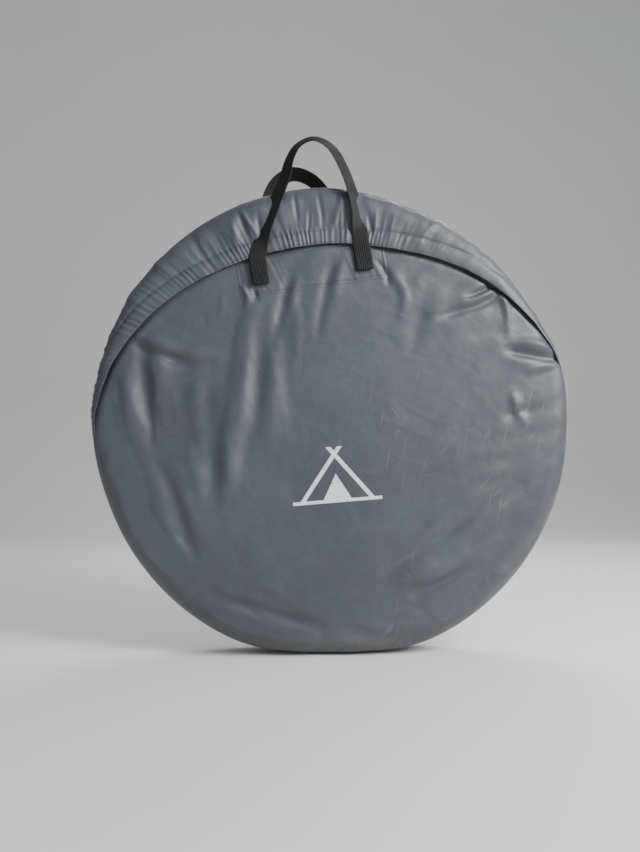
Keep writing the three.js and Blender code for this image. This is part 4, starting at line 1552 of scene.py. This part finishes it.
    def strap(self, name, end, front, body):
        """Half of the strap round the pack, from the buckle in front over one end of the disc to the back."""
        out, reach, corner = PACK.strap, PACK.reach, 0.0075
        t = np.linspace(0, math.pi / 2, 12)[1:-1]
        run = np.concatenate([
            [(-out, end * v) for v in np.linspace(end * front, reach - corner, 70)],
            np.stack([-out + corner * (1 - np.cos(t)), end * (reach - corner + corner * np.sin(t))], axis=1),
            [(y, end * reach) for y in np.linspace(-out + corner, out - corner, 16)],
            np.stack([out - corner * (1 - np.sin(t)), end * (reach - corner + corner * np.cos(t))], axis=1),
            [(out, end * v) for v in np.linspace(reach - corner, -end * 0.010, 70)]])
        line = world(0.0, run[:, 0], run[:, 1])
        along = np.gradient(line, axis=0)
        facing = np.cross(along, np.broadcast_to(F.across, line.shape)) * -end
        facing /= np.linalg.norm(facing, axis=1, keepdims=True)
        width, thickness, ribs = 0.025, 0.0014, 6
        obj = make_webbing(f"{name}_webbing", line, facing, np.zeros(len(line)), material("black webbing"),
                           width, thickness, ribs)
        self.placed(obj, name, "strap", body)

    def pegs(self):
        """Six bent pegs stand in a flat cloth bag that is open at the top."""
        middle_u, middle_v, y0 = -0.150, -0.060, -0.0406
        half_v, fold_at = 0.075, 0.79     # half the bag's height, and where its wall turns in at the mouth
        spacing = 0.0084
        for i in range(6):
            u = middle_u + (i - 2.5) * spacing - 0.002
            foot = middle_v - half_v + 0.032 - i * 0.0055
            t = np.linspace(0, math.pi / 2, 10)
            a = np.concatenate([[u, u, u], u + 0.003 * (1 - np.cos(t)), [u + 0.007]])
            b = foot + np.concatenate([[0.0, 0.004, 0.08], 0.162 + 0.003 * np.sin(t), [0.165]])
            line = world(a, y0, b)
            size = np.full(len(line), 0.0019)
            size[0] = 0.0007
            facing = np.broadcast_to(np.array([0.0, -1.0, 0.0]), line.shape)
            peg = make_tube(f"peg_{i + 1}", line, facing, size, size, material("zinc steel"), 12)
            self.placed(peg, f"tent_peg_{i + 1}", "steel")
        rows, cols = 70, 160
        share = np.linspace(0, 1, rows)[:, None]
        inside = smoothstep(0.78, 0.80, share)
        outer_v = middle_v - half_v + 2 * half_v * share / fold_at
        inner_v = middle_v + half_v - 0.70 * (share - fold_at)
        v = np.where(share < fold_at, outer_v, inner_v)
        t = np.linspace(0, TURN, cols, endpoint=False)[None, :]
        pull = 0.0010 * smooth_noise(t * 6 + 20 * v, 301, 0.9, 2)
        half_u = 0.0308 - 0.0010 * inside - 0.0004
        half_y = (0.0033 - 0.0005 * inside) * (0.12 + 0.88 * smoothstep(0.0, 0.14, share)) + pull * 0.25
        u = middle_u + (half_u + 0.3 * pull) * np.sign(np.cos(t)) * np.abs(np.cos(t)) ** 0.35
        y = y0 + half_y * np.sign(np.sin(t)) * np.abs(np.sin(t)) ** 0.55
        hem = 0.0002 * bell(share - 0.72, 0.01) * np.sin(t)
        points = world(u, y - hem, v + 0 * t)
        uv = np.stack(np.broadcast_arrays(t * 0.022, v), axis=-1)
        faces = grid_quads(rows, cols, close_cols=True)[:, ::-1].tolist()
        faces += [list(range(cols))[::-1], list(range((rows - 1) * cols, rows * cols))]
        bag = add_mesh("peg_pouch", points, faces, material("peg bag cloth"), uv)
        self.placed(bag, "peg_bag", "peg_bag_cloth")


# ---------------------------------------------------------------- the add-on


class TENT_PT_panel(bpy.types.Panel):
    """Lists the pieces that can be made and their sizes"""
    bl_idname = "TENT_PT_panel"
    bl_label = "Packed pop up tent"
    bl_space_type = "VIEW_3D"
    bl_region_type = "UI"
    bl_category = "Tent"

    def draw(self, context):
        for operator in OPERATORS:
            self.layout.operator(operator.bl_idname)
        for name, group in SETTINGS.items():
            box = self.layout.box()
            for field in group.__annotations__:
                box.prop(getattr(context.scene, name), field)


OPERATORS = (TENT_OT_materials, TENT_OT_stage, TENT_OT_panels, TENT_OT_hood, TENT_OT_handles,
             TENT_OT_pack)


def register():
    for item in (*SETTINGS.values(), *OPERATORS, TENT_PT_panel):
        bpy.utils.register_class(item)
    for name, group in SETTINGS.items():
        setattr(bpy.types.Scene, name, PointerProperty(type=group))


def unregister():
    for name in SETTINGS:
        delattr(bpy.types.Scene, name)
    for item in (*SETTINGS.values(), *OPERATORS, TENT_PT_panel):
        bpy.utils.unregister_class(item)


def main():
    register()
    bpy.ops.tent.materials()
    bpy.ops.tent.stage()
    bpy.ops.tent.panels()
    bpy.ops.tent.hood()
    bpy.ops.tent.handles()
    bpy.ops.tent.pack()


if __name__ == "__main__":
    main()
